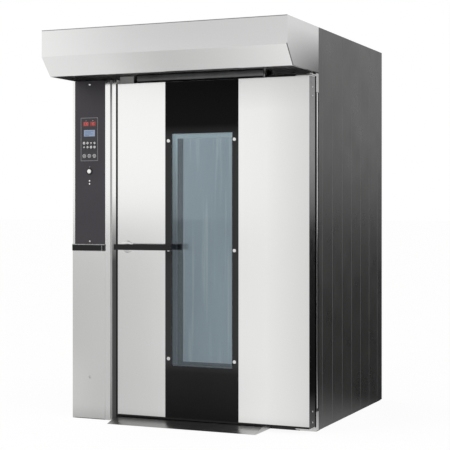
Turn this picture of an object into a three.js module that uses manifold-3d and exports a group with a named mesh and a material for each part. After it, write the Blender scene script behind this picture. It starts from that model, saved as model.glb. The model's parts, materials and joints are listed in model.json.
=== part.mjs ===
// A rotating rack oven for a bakery, as a three.js scene graph of the pieces it comes apart into.
// Millimetres. X runs to the oven's right, Y to its back and Z up, and the origin is on the floor
// under the middle of the oven.
import * as THREE from "three";
import { mergeVertices } from "three/addons/utils/BufferGeometryUtils.js";
import Module from "manifold-3d";

const wasm = await Module();
wasm.setup();

// ---------------------------------------------------------------- driving dimensions
// Overall size
const OVEN_WIDTH = 1520;
const OVEN_DEPTH = 1790; // from the hood's fascia to the rear edge of the side panels
const OVEN_HEIGHT = 2300;
const OUTER_SHEET = 2;
const INNER_SHEET = 2;
const SEAT = 0.3; // gap between two pieces that bear on each other
const PANEL_GAP = 2; // reveal between neighbouring covers

// Hood
const HOOD_REACH = 355; // fascia in front of the door's face
const HOOD_HEIGHT = 260;
const FASCIA_HEIGHT = 156; // its upright part
const HOOD_CHAMFER = 95; // how far the lower edge is folded back
const HOOD_HEM = 14;
const HOOD_FILTER_THICK = 22;
const HOOD_SLOT_COLUMNS = 8;
const HOOD_FILTER_RISE = 60; // baffle filter above the hood's lower edge
const HOOD_FAN_RADIUS = 105;
const HOOD_FAN_HEIGHT = 62;
const HOOD_FAN_BLADES = 10;
const HOOD_FAN_INSET = 430; // fan axis from the hood's left end
const HOOD_COLLAR_RADIUS = 75;

// Front
const COLUMN_WIDTH = 256;
const COLUMN_STRIP_LEFT = 16; // stainless edge left of the control panel
const COLUMN_STRIP_RIGHT = 34;
const POST_WIDTH = 31;
const POST_REVEAL = 10; // dark joint between column and strike post
const DOOR_SIDE_GAP = 7;
const SIDE_SETBACK = 155; // door's face to the side panels' front edge
const FRONT_CLEARANCE = 4; // column, post and frame below the hood
const FRAME_DEPTH = 60;
const JAMB_WIDTH = 90; // chamber's wall to the edge of the doorway
const DOOR_LAP = 16; // door past the doorway's left edge
const HEAD_LAP = 70; // door past the doorway's top edge
const GUTTER_HEIGHT = 56; // rounded drip gutter over the doorway
const GUTTER_PROUD = 26;
const GUTTER_INSET = 20; // below the frame's top edge

// Door
const DOOR_THICK = 100;
const DOOR_BOTTOM_Z = 32;
const DOOR_HEAD_GAP = 26; // top of the door below the top of the frame
const DOOR_SKIN = 2;
const SEAL_GAP = 18;
const SEAL_WIDTH = 12;
const LEFT_SKIN_WIDTH = 320;
const GLASS_WIDTH = 465;
const GLASS_THICK = 6;
const WINDOW_INSET = 43; // glass's left edge to the window
const WINDOW_WIDTH = 384;
const WINDOW_BOTTOM_Z = 347;
const WINDOW_HEAD = 306; // door's top to the window
const WINDOW_FLANGE = 34;
const PANE_PLAY = 1; // pane and sleeve inside the window's walls
const PANE_SETBACK = 46; // door's face to the ledge that the inner pane lies against
const PANE_LEDGE = 22;
const GLASS_BUTTON_RADIUS = 11.5;
const GLASS_BUTTON_PROUD = 6;
const GLASS_BUTTON_STUD = 6;
const GLASS_BUTTON_INSET = 22; // from the glass's side edge
const GLASS_BUTTON_ROWS = 3;
const GLASS_BUTTON_END = 40; // first and last button from the window's top and bottom
const SWITCH_BOX_WIDTH = 92; // door switch under the hood, over the door's free corner
const SWITCH_BOX_DEPTH = 70;
const SWITCH_BOX_HEIGHT = 42;
const SWITCH_GAP = 6;
const SWITCH_ROLLER_RADIUS = 5;
const SWITCH_ROLLER_INSET = 37;

// Hinges
const HINGE_INSET_X = 18; // pin axis from the door's right edge
const HINGE_INSET_Y = 26; // pin axis from the door's back
const HINGE_PIN_RADIUS = 9;
const HINGE_PLATE = 6;
const HINGE_ARM_LENGTH = 86;
const HINGE_BUSH_WALL = 5;
const HINGE_BUSH_LENGTH = 36;
const HINGE_CHEEK_HEIGHT = 108;
const RUN_CLEARANCE = 0.4; // a turning or sliding piece in its hole

// Handle and latch
const HANDLE_INSET = 71; // from the door's left edge
const HANDLE_Z = 1040;
const HANDLE_STAND_OFF = 80;
const HANDLE_TAIL = 51;
const HANDLE_REACH = 318;
const HANDLE_HEIGHT = 34;
const HANDLE_THICK = 8;
const HANDLE_SHAFT_RADIUS = 10;
const HANDLE_SLEEVE_RADIUS = 16;
const ESCUTCHEON_RADIUS = 37;
const ESCUTCHEON_THICK = 12;
const CRANK_RADIUS = 25;
const CRANK_THICK = 6;
const CRANK_PIN_RADIUS = 4;
const BOLT_HEIGHT = 22;
const BOLT_THICK = 14;
const BOLT_ENGAGED = 15; // bolt inside the strike post
const LATCH_WALL = 2;
const KNOB_RADIUS = 24;
const KNOB_LENGTH = 26;

// Control column
const DIVIDER_LOW_Z = 1013;
const DIVIDER_HEIGHT = 40;
const KEYPAD_INSET = 100.5; // its middle from the control panel's left edge
const KEYPAD_DROP = 352; // its middle below the column's top
const KEYPAD_WIDTH = 119;
const KEYPAD_HEIGHT = 262;
const KEYPAD_THICK = 1.6;
const KEY_SIZE = 17;
const KEY_PITCH_X = 24;
const KEY_PITCH_Z = 24.5;
const KEY_BLOCK_DROP = 47; // below the keypad's middle, as the next four
const KEY_DOME = 1;
const ROUND_KEY_RADIUS = 11;
const ROUND_KEY_PITCH = 34.5;
const ROUND_KEY_DROP = 100;
const LED_WINDOW_WIDTH = 40;
const LED_WINDOW_HEIGHT = 27;
const LED_WINDOW_PITCH = 48;
const LED_WINDOW_RISE = 93;
const LCD_WIDTH = 77;
const LCD_HEIGHT = 41;
const LCD_RISE = 37;
const LENS_THICK = 3;
const BUTTON_DROP = 193;
const BUTTON_RADIUS = 13;
const BUTTON_COLLAR = 6;
const BUTTON_PROUD = 9;
const LAMP_DROP = 259;
const LAMP_PITCH = 18;
const LAMP_RADIUS = 5;
const LOCK_Z = 252;
const LOCK_RADIUS = 9;
const CONTACTORS = 4;
const PLATE_LOW_Z = 1100;
const PLATE_HEAD_GAP = 136; // below the column's top
const CONTACTOR_HEIGHT = 82;
const CONTACTOR_DEPTH = 70;
const TERMINAL_HEIGHT = 40;
const DRIVE_HEIGHT = 150;
const DEVICE_GAP = 45;

// Chamber and turntable
const CEILING_DROP = 5; // below the doorway's top edge
const WOOL_RIGHT = 120; // insulated walls, outer face to chamber liner
const WOOL_REAR = 91;
const WOOL_TOP = 82;
const DUCT_SIDE = 88;
const DUCT_REAR = 92;
const FLOOR_Z = 28;
const FLOOR_THICK = 4;
const DISC_MARGIN = 85; // chamber's nearest wall to the disc
const DISC_THICK = 5;
const DISC_CLEARANCE = 5;
const DISH_DEPTH = 18;
const RAIL_HEIGHT = 12;
const RAIL_END_GAP = 48; // rail's end to the disc's edge
const RAIL_SPREAD = 470;
const RAIL_THICK = 5;
const PIVOT_RADIUS = 16;
const HUB_RADIUS = 60;
const BASE_RAIL = 60;
const BASE_WALL = 4;

// Air system
const SLOT_COUNT = 11;
const SLOT_COLUMNS = 2;
const SLOT_LENGTH = 150;
const SLOT_HEIGHT = 16;
const REAR_SLOT_COLUMNS = 6;
const LOUVRE_PROUD = 10;
const FAN_HEIGHT = 96;
const FAN_BLADES = 9;
const FAN_BLADE_INSET = 30; // inside the inlet's edge
const FAN_BLADE_LEAN = 0.75; // radians over a blade
const FAN_HUB_RADIUS = 38;
const FAN_INLET_RADIUS = 135;
const FAN_HOOK_GAP = 75; // fan wheel to the hook's shaft
const FAN_WALL_GAP = 18; // fan wheel to the chamber's rear wall
const FAN_SHEET = 3;
const FAN_MOTOR_RADIUS = 80;
const FAN_MOTOR_HEIGHT = 112;
const HEATER_LOOPS = 5;
const HEATER_TUBE = 7;
const HEATER_PITCH = 150;
const HEATER_HEIGHT = 1150;
const CASCADE_BARS = 7;
const CASCADE_WIDTH = 778;
const CASCADE_PITCH = 52;

// Rack drive
const HOOK_REACH = 130;
const HOOK_DROP = 95;
const HOOK_SHAFT_RADIUS = 17;
const GEARBOX_SIZE = 120;
const GEARBOX_HEIGHT = 78;
const DRIVE_MOTOR_RADIUS = 62;
const DRIVE_MOTOR_LENGTH = 190;

// Steam flue
const FLUE_INSET = 218; // from the liner's right side
const FLUE_RADIUS = 60;
const FLUE_WALL = 2;
const DAMPER_THICK = 3;
const DAMPER_SHAFT_RADIUS = 5;

// Covers
const SEAM_PITCH = 185;
const SEAM_FIRST = 64; // front edge of a side panel to its first plank joint
const SEAM_DEPTH = 2;
const SEAM_WIDTH = 4;
const SIDE_FLANGE = 24;
const SIDE_FOOT_Z = 5;
const ROOF_RECESS = 62; // roof below the top edge of fascia and side panels
const REAR_RECESS = 12;
const REAR_LOUVRES = 8;

// Ramp
const RAMP_LAP = 20; // past each edge of the doorway
const RAMP_FRONT = 117; // tip in front of the door's face
const RAMP_FLAT = 20; // flat top in front of the door's face
const RAMP_SHEET = 3;
const RAMP_TOP_Z = 27;

// Facets of a round shape
const ROUND = 16;
const WIDE_ROUND = 28;
const SMALL_ROUND = 10;

// ---------------------------------------------------------------- places worked out from the sizes
const LEFT = -OVEN_WIDTH / 2;
const RIGHT = OVEN_WIDTH / 2;
const HOOD_FRONT = -OVEN_DEPTH / 2;
const REAR = OVEN_DEPTH / 2;
const DOOR_FRONT = HOOD_FRONT + HOOD_REACH;
const DOOR_BACK = DOOR_FRONT + DOOR_THICK;
const FRAME_FRONT = DOOR_BACK + SEAL_GAP;
const FRAME_BACK = FRAME_FRONT + FRAME_DEPTH;
const SIDE_FRONT = DOOR_FRONT + SIDE_SETBACK;
const HOOD_LOW_Z = OVEN_HEIGHT - HOOD_HEIGHT;
const HOOD_FOLD_Z = OVEN_HEIGHT - FASCIA_HEIGHT;
const HOOD_FAN_X = LEFT + HOOD_FAN_INSET;
const FRONT_TOP_Z = HOOD_LOW_Z - FRONT_CLEARANCE;
const DOOR_TOP_Z = FRONT_TOP_Z - DOOR_HEAD_GAP;
const OPENING_TOP_Z = DOOR_TOP_Z - HEAD_LAP;
const CHAMBER_TOP_Z = OPENING_TOP_Z - CEILING_DROP;
const COLUMN_RIGHT = LEFT + COLUMN_WIDTH;
const PANEL_LEFT = LEFT + COLUMN_STRIP_LEFT;
const PANEL_RIGHT = COLUMN_RIGHT - COLUMN_STRIP_RIGHT;
const POST_LEFT = COLUMN_RIGHT + POST_REVEAL;
const POST_RIGHT = POST_LEFT + POST_WIDTH;
const DOOR_LEFT = POST_RIGHT + DOOR_SIDE_GAP;
const DOOR_RIGHT = RIGHT - PANEL_GAP;
const GLASS_LEFT_X = DOOR_LEFT + LEFT_SKIN_WIDTH;
const GLASS_RIGHT_X = GLASS_LEFT_X + GLASS_WIDTH;
const WINDOW_LEFT_X = GLASS_LEFT_X + WINDOW_INSET;
const WINDOW_RIGHT_X = WINDOW_LEFT_X + WINDOW_WIDTH;
const WINDOW_TOP_Z = DOOR_TOP_Z - WINDOW_HEAD;
const HANDLE_X = DOOR_LEFT + HANDLE_INSET;
const HINGE_X = DOOR_RIGHT - HINGE_INSET_X;
const HINGE_Y = DOOR_BACK - HINGE_INSET_Y;
const REAR_FACE = REAR - REAR_RECESS;
const OPENING_LEFT = DOOR_LEFT + DOOR_LAP;
const CHAMBER_LEFT = OPENING_LEFT - JAMB_WIDTH;
const LINER_LEFT = CHAMBER_LEFT - DUCT_SIDE;
const LINER_RIGHT = RIGHT - WOOL_RIGHT - INNER_SHEET;
const CHAMBER_RIGHT = LINER_RIGHT - DUCT_SIDE;
const OPENING_RIGHT = CHAMBER_RIGHT - JAMB_WIDTH;
const LINER_BACK = REAR_FACE - WOOL_REAR - INNER_SHEET;
const CHAMBER_BACK = LINER_BACK - DUCT_REAR;
const TURN_X = (CHAMBER_LEFT + CHAMBER_RIGHT) / 2;
const TURN_Y = (FRAME_BACK + CHAMBER_BACK) / 2;
const DISC_RADIUS = Math.min(CHAMBER_RIGHT - TURN_X, CHAMBER_BACK - TURN_Y) - DISC_MARGIN;
const FAN_FRONT_Y = TURN_Y + HOOK_SHAFT_RADIUS + FAN_HOOK_GAP;
const FAN_RADIUS = (CHAMBER_BACK - FAN_WALL_GAP - FAN_FRONT_Y) / 2;
const FAN_Y = FAN_FRONT_Y + FAN_RADIUS;
const FLUE_X = LINER_RIGHT - FLUE_INSET;
const FAN_DECK_Z = CHAMBER_TOP_Z + FAN_HEIGHT + 2 * FAN_SHEET + 20;
const ROOF_Z = OVEN_HEIGHT - ROOF_RECESS;
const DISH_FLOOR_Z = FLOOR_Z - DISH_DEPTH;
const DISC_TOP_Z = FLOOR_Z + 2;

// ---------------------------------------------------------------- materials
function finish(name, color, roughness, metalness, more = {}) {
  return new THREE.MeshStandardMaterial({ name, color, roughness, metalness, ...more });
}
const STAINLESS = finish("stainless", "#d6d6d6", 0.35, 0.95);
const BRIGHT_STEEL = finish("bright_steel", "#c2c4c6", 0.25, 1);
const COATED_STEEL = finish("coated_steel", "#4a4a49", 0.5, 0.4);
const CONTROL_SHEET = finish("control_sheet", "#434044", 0.5, 0.1);
const BLACK_STEEL = finish("black_steel", "#17171a", 0.45, 0.2);
const BLACK_GLASS = finish("black_glass", "#101113", 0.06, 0, { transparent: true, opacity: 0.9 });
const CLEAR_GLASS = finish("clear_glass", "#a9bcc8", 0.05, 0, { transparent: true, opacity: 0.3 });
const HANDLE_BLACK = finish("handle_black", "#1c1c1e", 0.4, 0.1);
const SEAL_RUBBER = finish("seal_rubber", "#0e0e0f", 0.8, 0);
const CHAMBER_STEEL = finish("chamber_steel", "#b4bcc2", 0.3, 0.95);
const WOOL = finish("mineral_wool", "#b9a77c", 0.95, 0);
const MOTOR_PAINT = finish("motor_paint", "#55606b", 0.5, 0.3);
const CAST_ALUMINIUM = finish("cast_aluminium", "#a5a8aa", 0.5, 0.9);
const KEY_FOIL = finish("key_foil", "#3a373b", 0.4, 0);
const DISPLAY_LENS = finish("display_lens", "#5d6f9a", 0.2, 0);
const LAMP_WHITE = finish("lamp_white", "#eceae6", 0.35, 0);
const HEATER_TUBE_STEEL = finish("heater_tube", "#5c5650", 0.5, 0.8);

// ---------------------------------------------------------------- shape helpers
// A closed geometry with shared vertices, no zero faces, and its faces pointing out.
function closed(geometry) {
  const bare = geometry.index ? geometry.toNonIndexed() : geometry.clone();
  bare.deleteAttribute("normal");
  bare.deleteAttribute("uv");
  const merged = mergeVertices(bare, 1e-3);
  const p = merged.attributes.position;
  const corner = (i) => new THREE.Vector3().fromBufferAttribute(p, i);
  const faces = [];
  let volume = 0;
  for (let i = 0; i < merged.index.count; i += 3) {
    const [a, b, c] = [0, 1, 2].map((k) => merged.index.getX(i + k));
    if (a === b || b === c || a === c) continue;
    faces.push([a, b, c]);
    volume += corner(a).dot(corner(b).cross(corner(c)));
  }
  const turned = volume < 0 ? faces.map(([a, b, c]) => [a, c, b]) : faces;
  merged.setIndex(turned.flat());
  return merged;
}

function solid(geometry) {
  const shut = closed(geometry);
  const vertProperties = new Float32Array(shut.attributes.position.array);
  const triVerts = new Uint32Array(shut.index.array);
  return new wasm.Manifold(new wasm.Mesh({ numProp: 3, vertProperties, triVerts }));
}

function geometryOf(manifold) {
  const made = manifold.getMesh();
  const geometry = new THREE.BufferGeometry();
  geometry.setAttribute("position", new THREE.BufferAttribute(made.vertProperties, 3));
  geometry.setIndex(Array.from(made.triVerts));
  return geometry;
}

// The first geometry with the others joined to it.
function join(...geometries) {
  return geometryOf(geometries.map(solid).reduce((whole, more) => whole.add(more)));
}

// The first geometry with the others cut away.
function cut(body, ...tools) {
  return geometryOf(tools.map(solid).reduce((left, tool) => left.subtract(tool), solid(body)));
}

function block(x0, x1, y0, y1, z0, z1) {
  const box = new THREE.BoxGeometry(x1 - x0, y1 - y0, z1 - z0);
  return box.translate((x0 + x1) / 2, (y0 + y1) / 2, (z0 + z1) / 2);
}

function rectangle(a0, a1, b0, b1) {
  return [[a0, b0], [a1, b0], [a1, b1], [a0, b1]];
}

function circle(a, b, radius, sides = ROUND) {
  return Array.from({ length: sides }, (_, i) => {
    const angle = (2 * Math.PI * i) / sides;
    return [a + radius * Math.cos(angle), b + radius * Math.sin(angle)];
  });
}

// An outline of [a, b] points made a bar along its third axis, with holes right through it.
function bar(points, from, to) {
  const shape = new THREE.Shape(points.map(([a, b]) => new THREE.Vector2(a, b)));
  const grown = new THREE.ExtrudeGeometry(shape, { depth: to - from, bevelEnabled: false });
  return grown.translate(0, 0, from);
}

function extruded(points, holes, length) {
  const tools = holes.map((hole) => bar(hole, -1, length + 1));
  return holes.length ? cut(bar(points, 0, length), ...tools) : bar(points, 0, length);
}

// An outline drawn in X and Y, standing from z0 to z1.
function rise(points, z0, z1, holes = []) {
  return extruded(points, holes, z1 - z0).translate(0, 0, z0);
}

// An outline drawn in X and Z, running from y0 to y1.
function runY(points, y0, y1, holes = []) {
  return extruded(points, holes, y1 - y0).rotateX(Math.PI / 2).translate(0, y1, 0);
}

// An outline drawn in Y and Z, running from x0 to x1.
function runX(points, x0, x1, holes = []) {
  const turn = new THREE.Matrix4().makeBasis(
    new THREE.Vector3(0, 1, 0),
    new THREE.Vector3(0, 0, 1),
    new THREE.Vector3(1, 0, 0),
  );
  return extruded(points, holes, x1 - x0).applyMatrix4(turn).translate(x0, 0, 0);
}

// A turned piece about a vertical axis: profile points are [radius, z].
function turned(profile, x, y, sides = ROUND) {
  const points = profile.map(([r, z]) => new THREE.Vector2(r, z));
  return new THREE.LatheGeometry(points, sides).rotateX(Math.PI / 2).translate(x, y, 0);
}

// A turned piece about an axis along Y: profile points are [radius, y].
function turnedY(profile, x, z, sides = ROUND) {
  const points = profile.map(([r, y]) => new THREE.Vector2(r, y));
  return new THREE.LatheGeometry(points, sides).translate(x, 0, z);
}

// A plain cylinder about a vertical axis.
function drum(x, y, radius, z0, z1, sides = ROUND) {
  return turned([[0, z0], [radius, z0], [radius, z1], [0, z1]], x, y, sides);
}

// A plain cylinder about an axis along Y.
function pinY(x, z, radius, y0, y1, sides = ROUND) {
  return turnedY([[0, y0], [radius, y0], [radius, y1], [0, y1]], x, z, sides);
}

const oven = new THREE.Group();
oven.name = "rotating_rack_oven";
function add(name, geometry, material) {
  const mesh = new THREE.Mesh(closed(geometry), material);
  mesh.geometry.computeVertexNormals();
  mesh.name = name;
  oven.add(mesh);
  return mesh;
}

// ---------------------------------------------------------------- cabinet covers
// A sheet made of planks with folded joints, seen on edge: [along, inward] points, outer face at 0.
function plankSheet(start, end, firstSeam, seams, sheet) {
  const middles = Array.from({ length: seams }, (_, i) => firstSeam + i * SEAM_PITCH);
  const face = (inward) => [
    [start, inward],
    ...middles.flatMap((at) => [
      [at - SEAM_WIDTH / 2, inward],
      [at, inward + SEAM_DEPTH],
      [at + SEAM_WIDTH / 2, inward],
    ]),
    [end, inward],
  ];
  return [...face(0), ...face(sheet).reverse()];
}

function sidePanel(side) {
  const seams = Math.ceil((REAR - SIDE_FLANGE - SIDE_FRONT - SEAM_FIRST) / SEAM_PITCH);
  const sheet = plankSheet(SIDE_FRONT, REAR, SIDE_FRONT + SEAM_FIRST, seams, OUTER_SHEET);
  const toX = (inward) => side * (RIGHT - inward);
  const wall = rise(sheet.map(([y, inward]) => [toX(inward), y]), SIDE_FOOT_Z, OVEN_HEIGHT);
  const [flangeA, flangeB] = [toX(SIDE_FLANGE), toX(OUTER_SHEET / 2)].sort((a, b) => a - b);
  const flange = block(flangeA, flangeB, REAR - OUTER_SHEET, REAR, SIDE_FOOT_Z, OVEN_HEIGHT);
  return join(wall, flange);
}
add("side_panel_left", sidePanel(-1), COATED_STEEL);
add("side_panel_right", sidePanel(1), COATED_STEEL);

// Inside faces for what meets the flat of the side panels, and for what clears their plank joints
const SKIN_LEFT = LEFT + OUTER_SHEET + SEAM_DEPTH + SEAT;
const SKIN_RIGHT = RIGHT - OUTER_SHEET - SEAM_DEPTH - SEAT;
const COVER_LEFT = LEFT + OUTER_SHEET + SEAT;
const COVER_RIGHT = RIGHT - OUTER_SHEET - SEAT;

function rearCover() {
  const seams = Math.round((COVER_RIGHT - COVER_LEFT) / SEAM_PITCH) - 1;
  const first = (COVER_LEFT + COVER_RIGHT - (seams - 1) * SEAM_PITCH) / 2;
  const sheet = plankSheet(COVER_LEFT, COVER_RIGHT, first, seams, OUTER_SHEET);
  const outline = sheet.map(([x, inward]) => [x, REAR_FACE - inward]);
  const wall = rise(outline, SIDE_FOOT_Z, ROOF_Z - OUTER_SHEET - SEAT);
  const slots = [];
  const width = SEAM_PITCH - 5 * SEAM_WIDTH;
  for (const column of [1, seams - 2]) {
    const left = first + column * SEAM_PITCH + (SEAM_PITCH - width) / 2;
    for (let row = 0; row < REAR_LOUVRES; row += 1) {
      const z = ROOF_Z - 120 - row * 30;
      slots.push(block(left, left + width, REAR_FACE - 10, REAR_FACE + 1, z, z + 9));
    }
  }
  return cut(wall, ...slots);
}
add("rear_cover", rearCover(), COATED_STEEL);

const FAN_AXIS = [TURN_X, FAN_Y];
const TURN_AXIS = [TURN_X, TURN_Y];
const FLUE_AXIS = [FLUE_X, FAN_Y];
const MOTOR_HOLE = FAN_MOTOR_RADIUS + 16;
const HOOD_FAN_Y = (DOOR_FRONT + HOOD_FRONT) / 2 + 60;

function roofPanel() {
  const edge = rectangle(SKIN_LEFT, SKIN_RIGHT, SIDE_FRONT + PANEL_GAP, REAR_FACE - SEAT);
  const gearHole = rectangle(
    TURN_X - GEARBOX_SIZE / 2 - 12,
    TURN_X + GEARBOX_SIZE / 2 + DRIVE_MOTOR_LENGTH + 20,
    TURN_Y - DRIVE_MOTOR_RADIUS - 12,
    TURN_Y + DRIVE_MOTOR_RADIUS + 12,
  );
  const holes = [
    circle(...FAN_AXIS, MOTOR_HOLE),
    gearHole,
    circle(...FLUE_AXIS, FLUE_RADIUS + RUN_CLEARANCE + 2),
  ];
  const plate = rise(edge, ROOF_Z - OUTER_SHEET, ROOF_Z, holes);
  const rim = (hole, grown) => rise(grown, ROOF_Z - OUTER_SHEET, ROOF_Z + 12, [hole]);
  const fanRim = rim(holes[0], circle(...FAN_AXIS, MOTOR_HOLE + OUTER_SHEET));
  const [[gx0, gy0], , [gx1, gy1]] = gearHole;
  const t = OUTER_SHEET;
  const gearRim = rim(gearHole, rectangle(gx0 - t, gx1 + t, gy0 - t, gy1 + t));
  return join(plate, fanRim, gearRim);
}
add("roof_panel", roofPanel(), COATED_STEEL);

// ---------------------------------------------------------------- base and floor
const SKIN_BACK = REAR_FACE - OUTER_SHEET - SEAM_DEPTH - SEAT;
const INNER_FRONT = FRAME_BACK + SEAT;
const BASE_TOP = FLOOR_Z - FLOOR_THICK - SEAT;
const BASE_INSIDE = [
  LINER_LEFT + 16,
  LINER_RIGHT - 16,
  INNER_FRONT + BASE_RAIL,
  CHAMBER_BACK - 30,
];

function baseFrame() {
  const outer = [SKIN_LEFT, SKIN_RIGHT, INNER_FRONT, SKIN_BACK];
  const w = BASE_WALL;
  const [x0, x1, y0, y1] = outer;
  const [a0, a1, b0, b1] = BASE_INSIDE;
  const ring = rise(rectangle(...outer), 0, BASE_TOP, [rectangle(...BASE_INSIDE)]);
  const pocket = rise(rectangle(x0 + w, x1 - w, y0 + w, y1 - w), -1, BASE_TOP - w, [
    rectangle(a0 - w, a1 + w, b0 - w, b1 + w),
  ]);
  return cut(ring, pocket);
}
add("base_frame", baseFrame(), COATED_STEEL);

function chamberFloor() {
  const edge = rectangle(LINER_LEFT + SEAT, LINER_RIGHT - SEAT, INNER_FRONT, LINER_BACK - SEAT);
  const dishRadius = DISC_RADIUS + DISC_CLEARANCE;
  const plate = rise(edge, FLOOR_Z - FLOOR_THICK, FLOOR_Z, [circle(...TURN_AXIS, dishRadius, WIDE_ROUND)]);
  const wall = FLOOR_THICK;
  const dish = turned(
    [
      [0, DISH_FLOOR_Z - wall],
      [dishRadius + wall, DISH_FLOOR_Z - wall],
      [dishRadius + wall, FLOOR_Z - 1],
      [dishRadius - 1, FLOOR_Z - 1],
      [dishRadius - 1, DISH_FLOOR_Z],
      [HUB_RADIUS, DISH_FLOOR_Z],
      [HUB_RADIUS, DISH_FLOOR_Z + 4],
      [PIVOT_RADIUS, DISH_FLOOR_Z + 4],
      [PIVOT_RADIUS, FLOOR_Z - 4],
      [0, FLOOR_Z - 4],
    ],
    ...TURN_AXIS,
    WIDE_ROUND,
  );
  return join(plate, dish);
}
add("chamber_floor", chamberFloor(), CHAMBER_STEEL);

function turntable() {
  const bore = PIVOT_RADIUS + RUN_CLEARANCE;
  const disc = turned(
    [
      [bore, DISH_FLOOR_Z + 4 + SEAT],
      [HUB_RADIUS, DISH_FLOOR_Z + 4 + SEAT],
      [HUB_RADIUS, DISC_TOP_Z - DISC_THICK],
      [DISC_RADIUS, DISC_TOP_Z - DISC_THICK],
      [DISC_RADIUS, DISC_TOP_Z],
      [0, DISC_TOP_Z],
      [0, FLOOR_Z - 4 + SEAT],
      [bore, FLOOR_Z - 4 + SEAT],
      [bore, DISH_FLOOR_Z + 4 + SEAT],
    ],
    ...TURN_AXIS,
    WIDE_ROUND,
  );
  const rails = [-1, 1].map((side) => {
    const x = TURN_X + (side * RAIL_SPREAD) / 2;
    const half = Math.sqrt((DISC_RADIUS - RAIL_END_GAP) ** 2 - (RAIL_SPREAD / 2) ** 2);
    const flare = 14;
    const run = [
      [x - side * flare, TURN_Y - half],
      [x, TURN_Y - half + 2 * flare],
      [x, TURN_Y + half],
      [x + side * RAIL_THICK, TURN_Y + half],
      [x + side * RAIL_THICK, TURN_Y - half + 2 * flare],
      [x + side * (RAIL_THICK - flare), TURN_Y - half],
    ];
    return rise(run, DISC_TOP_Z - 1, DISC_TOP_Z + RAIL_HEIGHT);
  });
  return join(disc, ...rails);
}
add("turntable", turntable(), CHAMBER_STEEL);

// ---------------------------------------------------------------- front frame, post, seal and ramp
const FRAME_LEFT = COLUMN_RIGHT + SEAT;
const FRAME_RIGHT = RIGHT - OUTER_SHEET - SEAT;

const SWITCH_BOX_LEFT = DOOR_LEFT - 6;
const SWITCH_BOX_RIGHT = SWITCH_BOX_LEFT + SWITCH_BOX_WIDTH;
const GUTTER_LEFT = SWITCH_BOX_RIGHT + 2;
const GUTTER_FACETS = 12;

// A folded channel round the doorway, with the rounded gutter that takes the steam's drips.
function frontFrame() {
  const t = INNER_SHEET;
  const opening = rectangle(OPENING_LEFT, OPENING_RIGHT, FLOOR_Z, OPENING_TOP_Z);
  const edge = rectangle(FRAME_LEFT, FRAME_RIGHT, 0, FRONT_TOP_Z);
  const ring = runY(edge, FRAME_FRONT, FRAME_BACK, [opening]);
  const pocketEdge = rectangle(FRAME_LEFT + t, FRAME_RIGHT - t, t, FRONT_TOP_Z - t);
  const pocketHole = rectangle(OPENING_LEFT - t, OPENING_RIGHT + t, FLOOR_Z - t, OPENING_TOP_Z + t);
  const channel = cut(ring, runY(pocketEdge, FRAME_FRONT + t, FRAME_BACK + 1, [pocketHole]));
  const middleZ = FRONT_TOP_Z - GUTTER_INSET + GUTTER_HEIGHT / 2;
  const bow = Array.from({ length: GUTTER_FACETS + 1 }, (_, i) => {
    const angle = (Math.PI * i) / GUTTER_FACETS;
    return [FRAME_FRONT - GUTTER_PROUD * Math.sin(angle), middleZ - (GUTTER_HEIGHT / 2) * Math.cos(angle)];
  });
  const root = [-1, 1].map((side) => [FRAME_FRONT + t, middleZ + (side * GUTTER_HEIGHT) / 2]);
  const gutter = [root[0], ...bow, root[1]];
  return join(channel, runX(gutter, GUTTER_LEFT, OPENING_RIGHT));
}
add("front_frame", frontFrame(), STAINLESS);

const BOLT_Z = HANDLE_Z + CRANK_RADIUS;
const BOLT_Y = DOOR_FRONT + 26; // middle of the bolt's thickness
const BOLT_TIP_X = POST_RIGHT - BOLT_ENGAGED;

// The stainless channel beside the door that the latch bolt shoots into.
function strikePost() {
  const t = OUTER_SHEET;
  const front = DOOR_FRONT + 8;
  const back = FRAME_FRONT - SEAT;
  const channel = [
    [POST_LEFT, front],
    [POST_RIGHT, front],
    [POST_RIGHT, back],
    [POST_RIGHT - t, back],
    [POST_RIGHT - t, front + t],
    [POST_LEFT + t, front + t],
    [POST_LEFT + t, back],
    [POST_LEFT, back],
  ];
  const play = 3;
  const keep = block(
    POST_RIGHT - 2 * t,
    POST_RIGHT + 1,
    BOLT_Y - BOLT_THICK / 2 - play,
    BOLT_Y + BOLT_THICK / 2 + play,
    BOLT_Z - BOLT_HEIGHT / 2 - play,
    BOLT_Z + BOLT_HEIGHT / 2 + play,
  );
  return cut(rise(channel, SIDE_FOOT_Z, FRONT_TOP_Z), keep);
}
add("strike_post", strikePost(), STAINLESS);

function doorSeal() {
  const inner = 1;
  const outer = inner + SEAL_WIDTH;
  const foot = DOOR_BOTTOM_Z + 2;
  const loop = [
    [OPENING_LEFT - outer, foot],
    [OPENING_LEFT - inner, foot],
    [OPENING_LEFT - inner, OPENING_TOP_Z + inner],
    [OPENING_RIGHT + inner, OPENING_TOP_Z + inner],
    [OPENING_RIGHT + inner, foot],
    [OPENING_RIGHT + outer, foot],
    [OPENING_RIGHT + outer, OPENING_TOP_Z + outer],
    [OPENING_LEFT - outer, OPENING_TOP_Z + outer],
  ];
  return runY(loop, DOOR_BACK + SEAT, FRAME_FRONT - SEAT);
}
add("door_seal", doorSeal(), SEAL_RUBBER);

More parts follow.
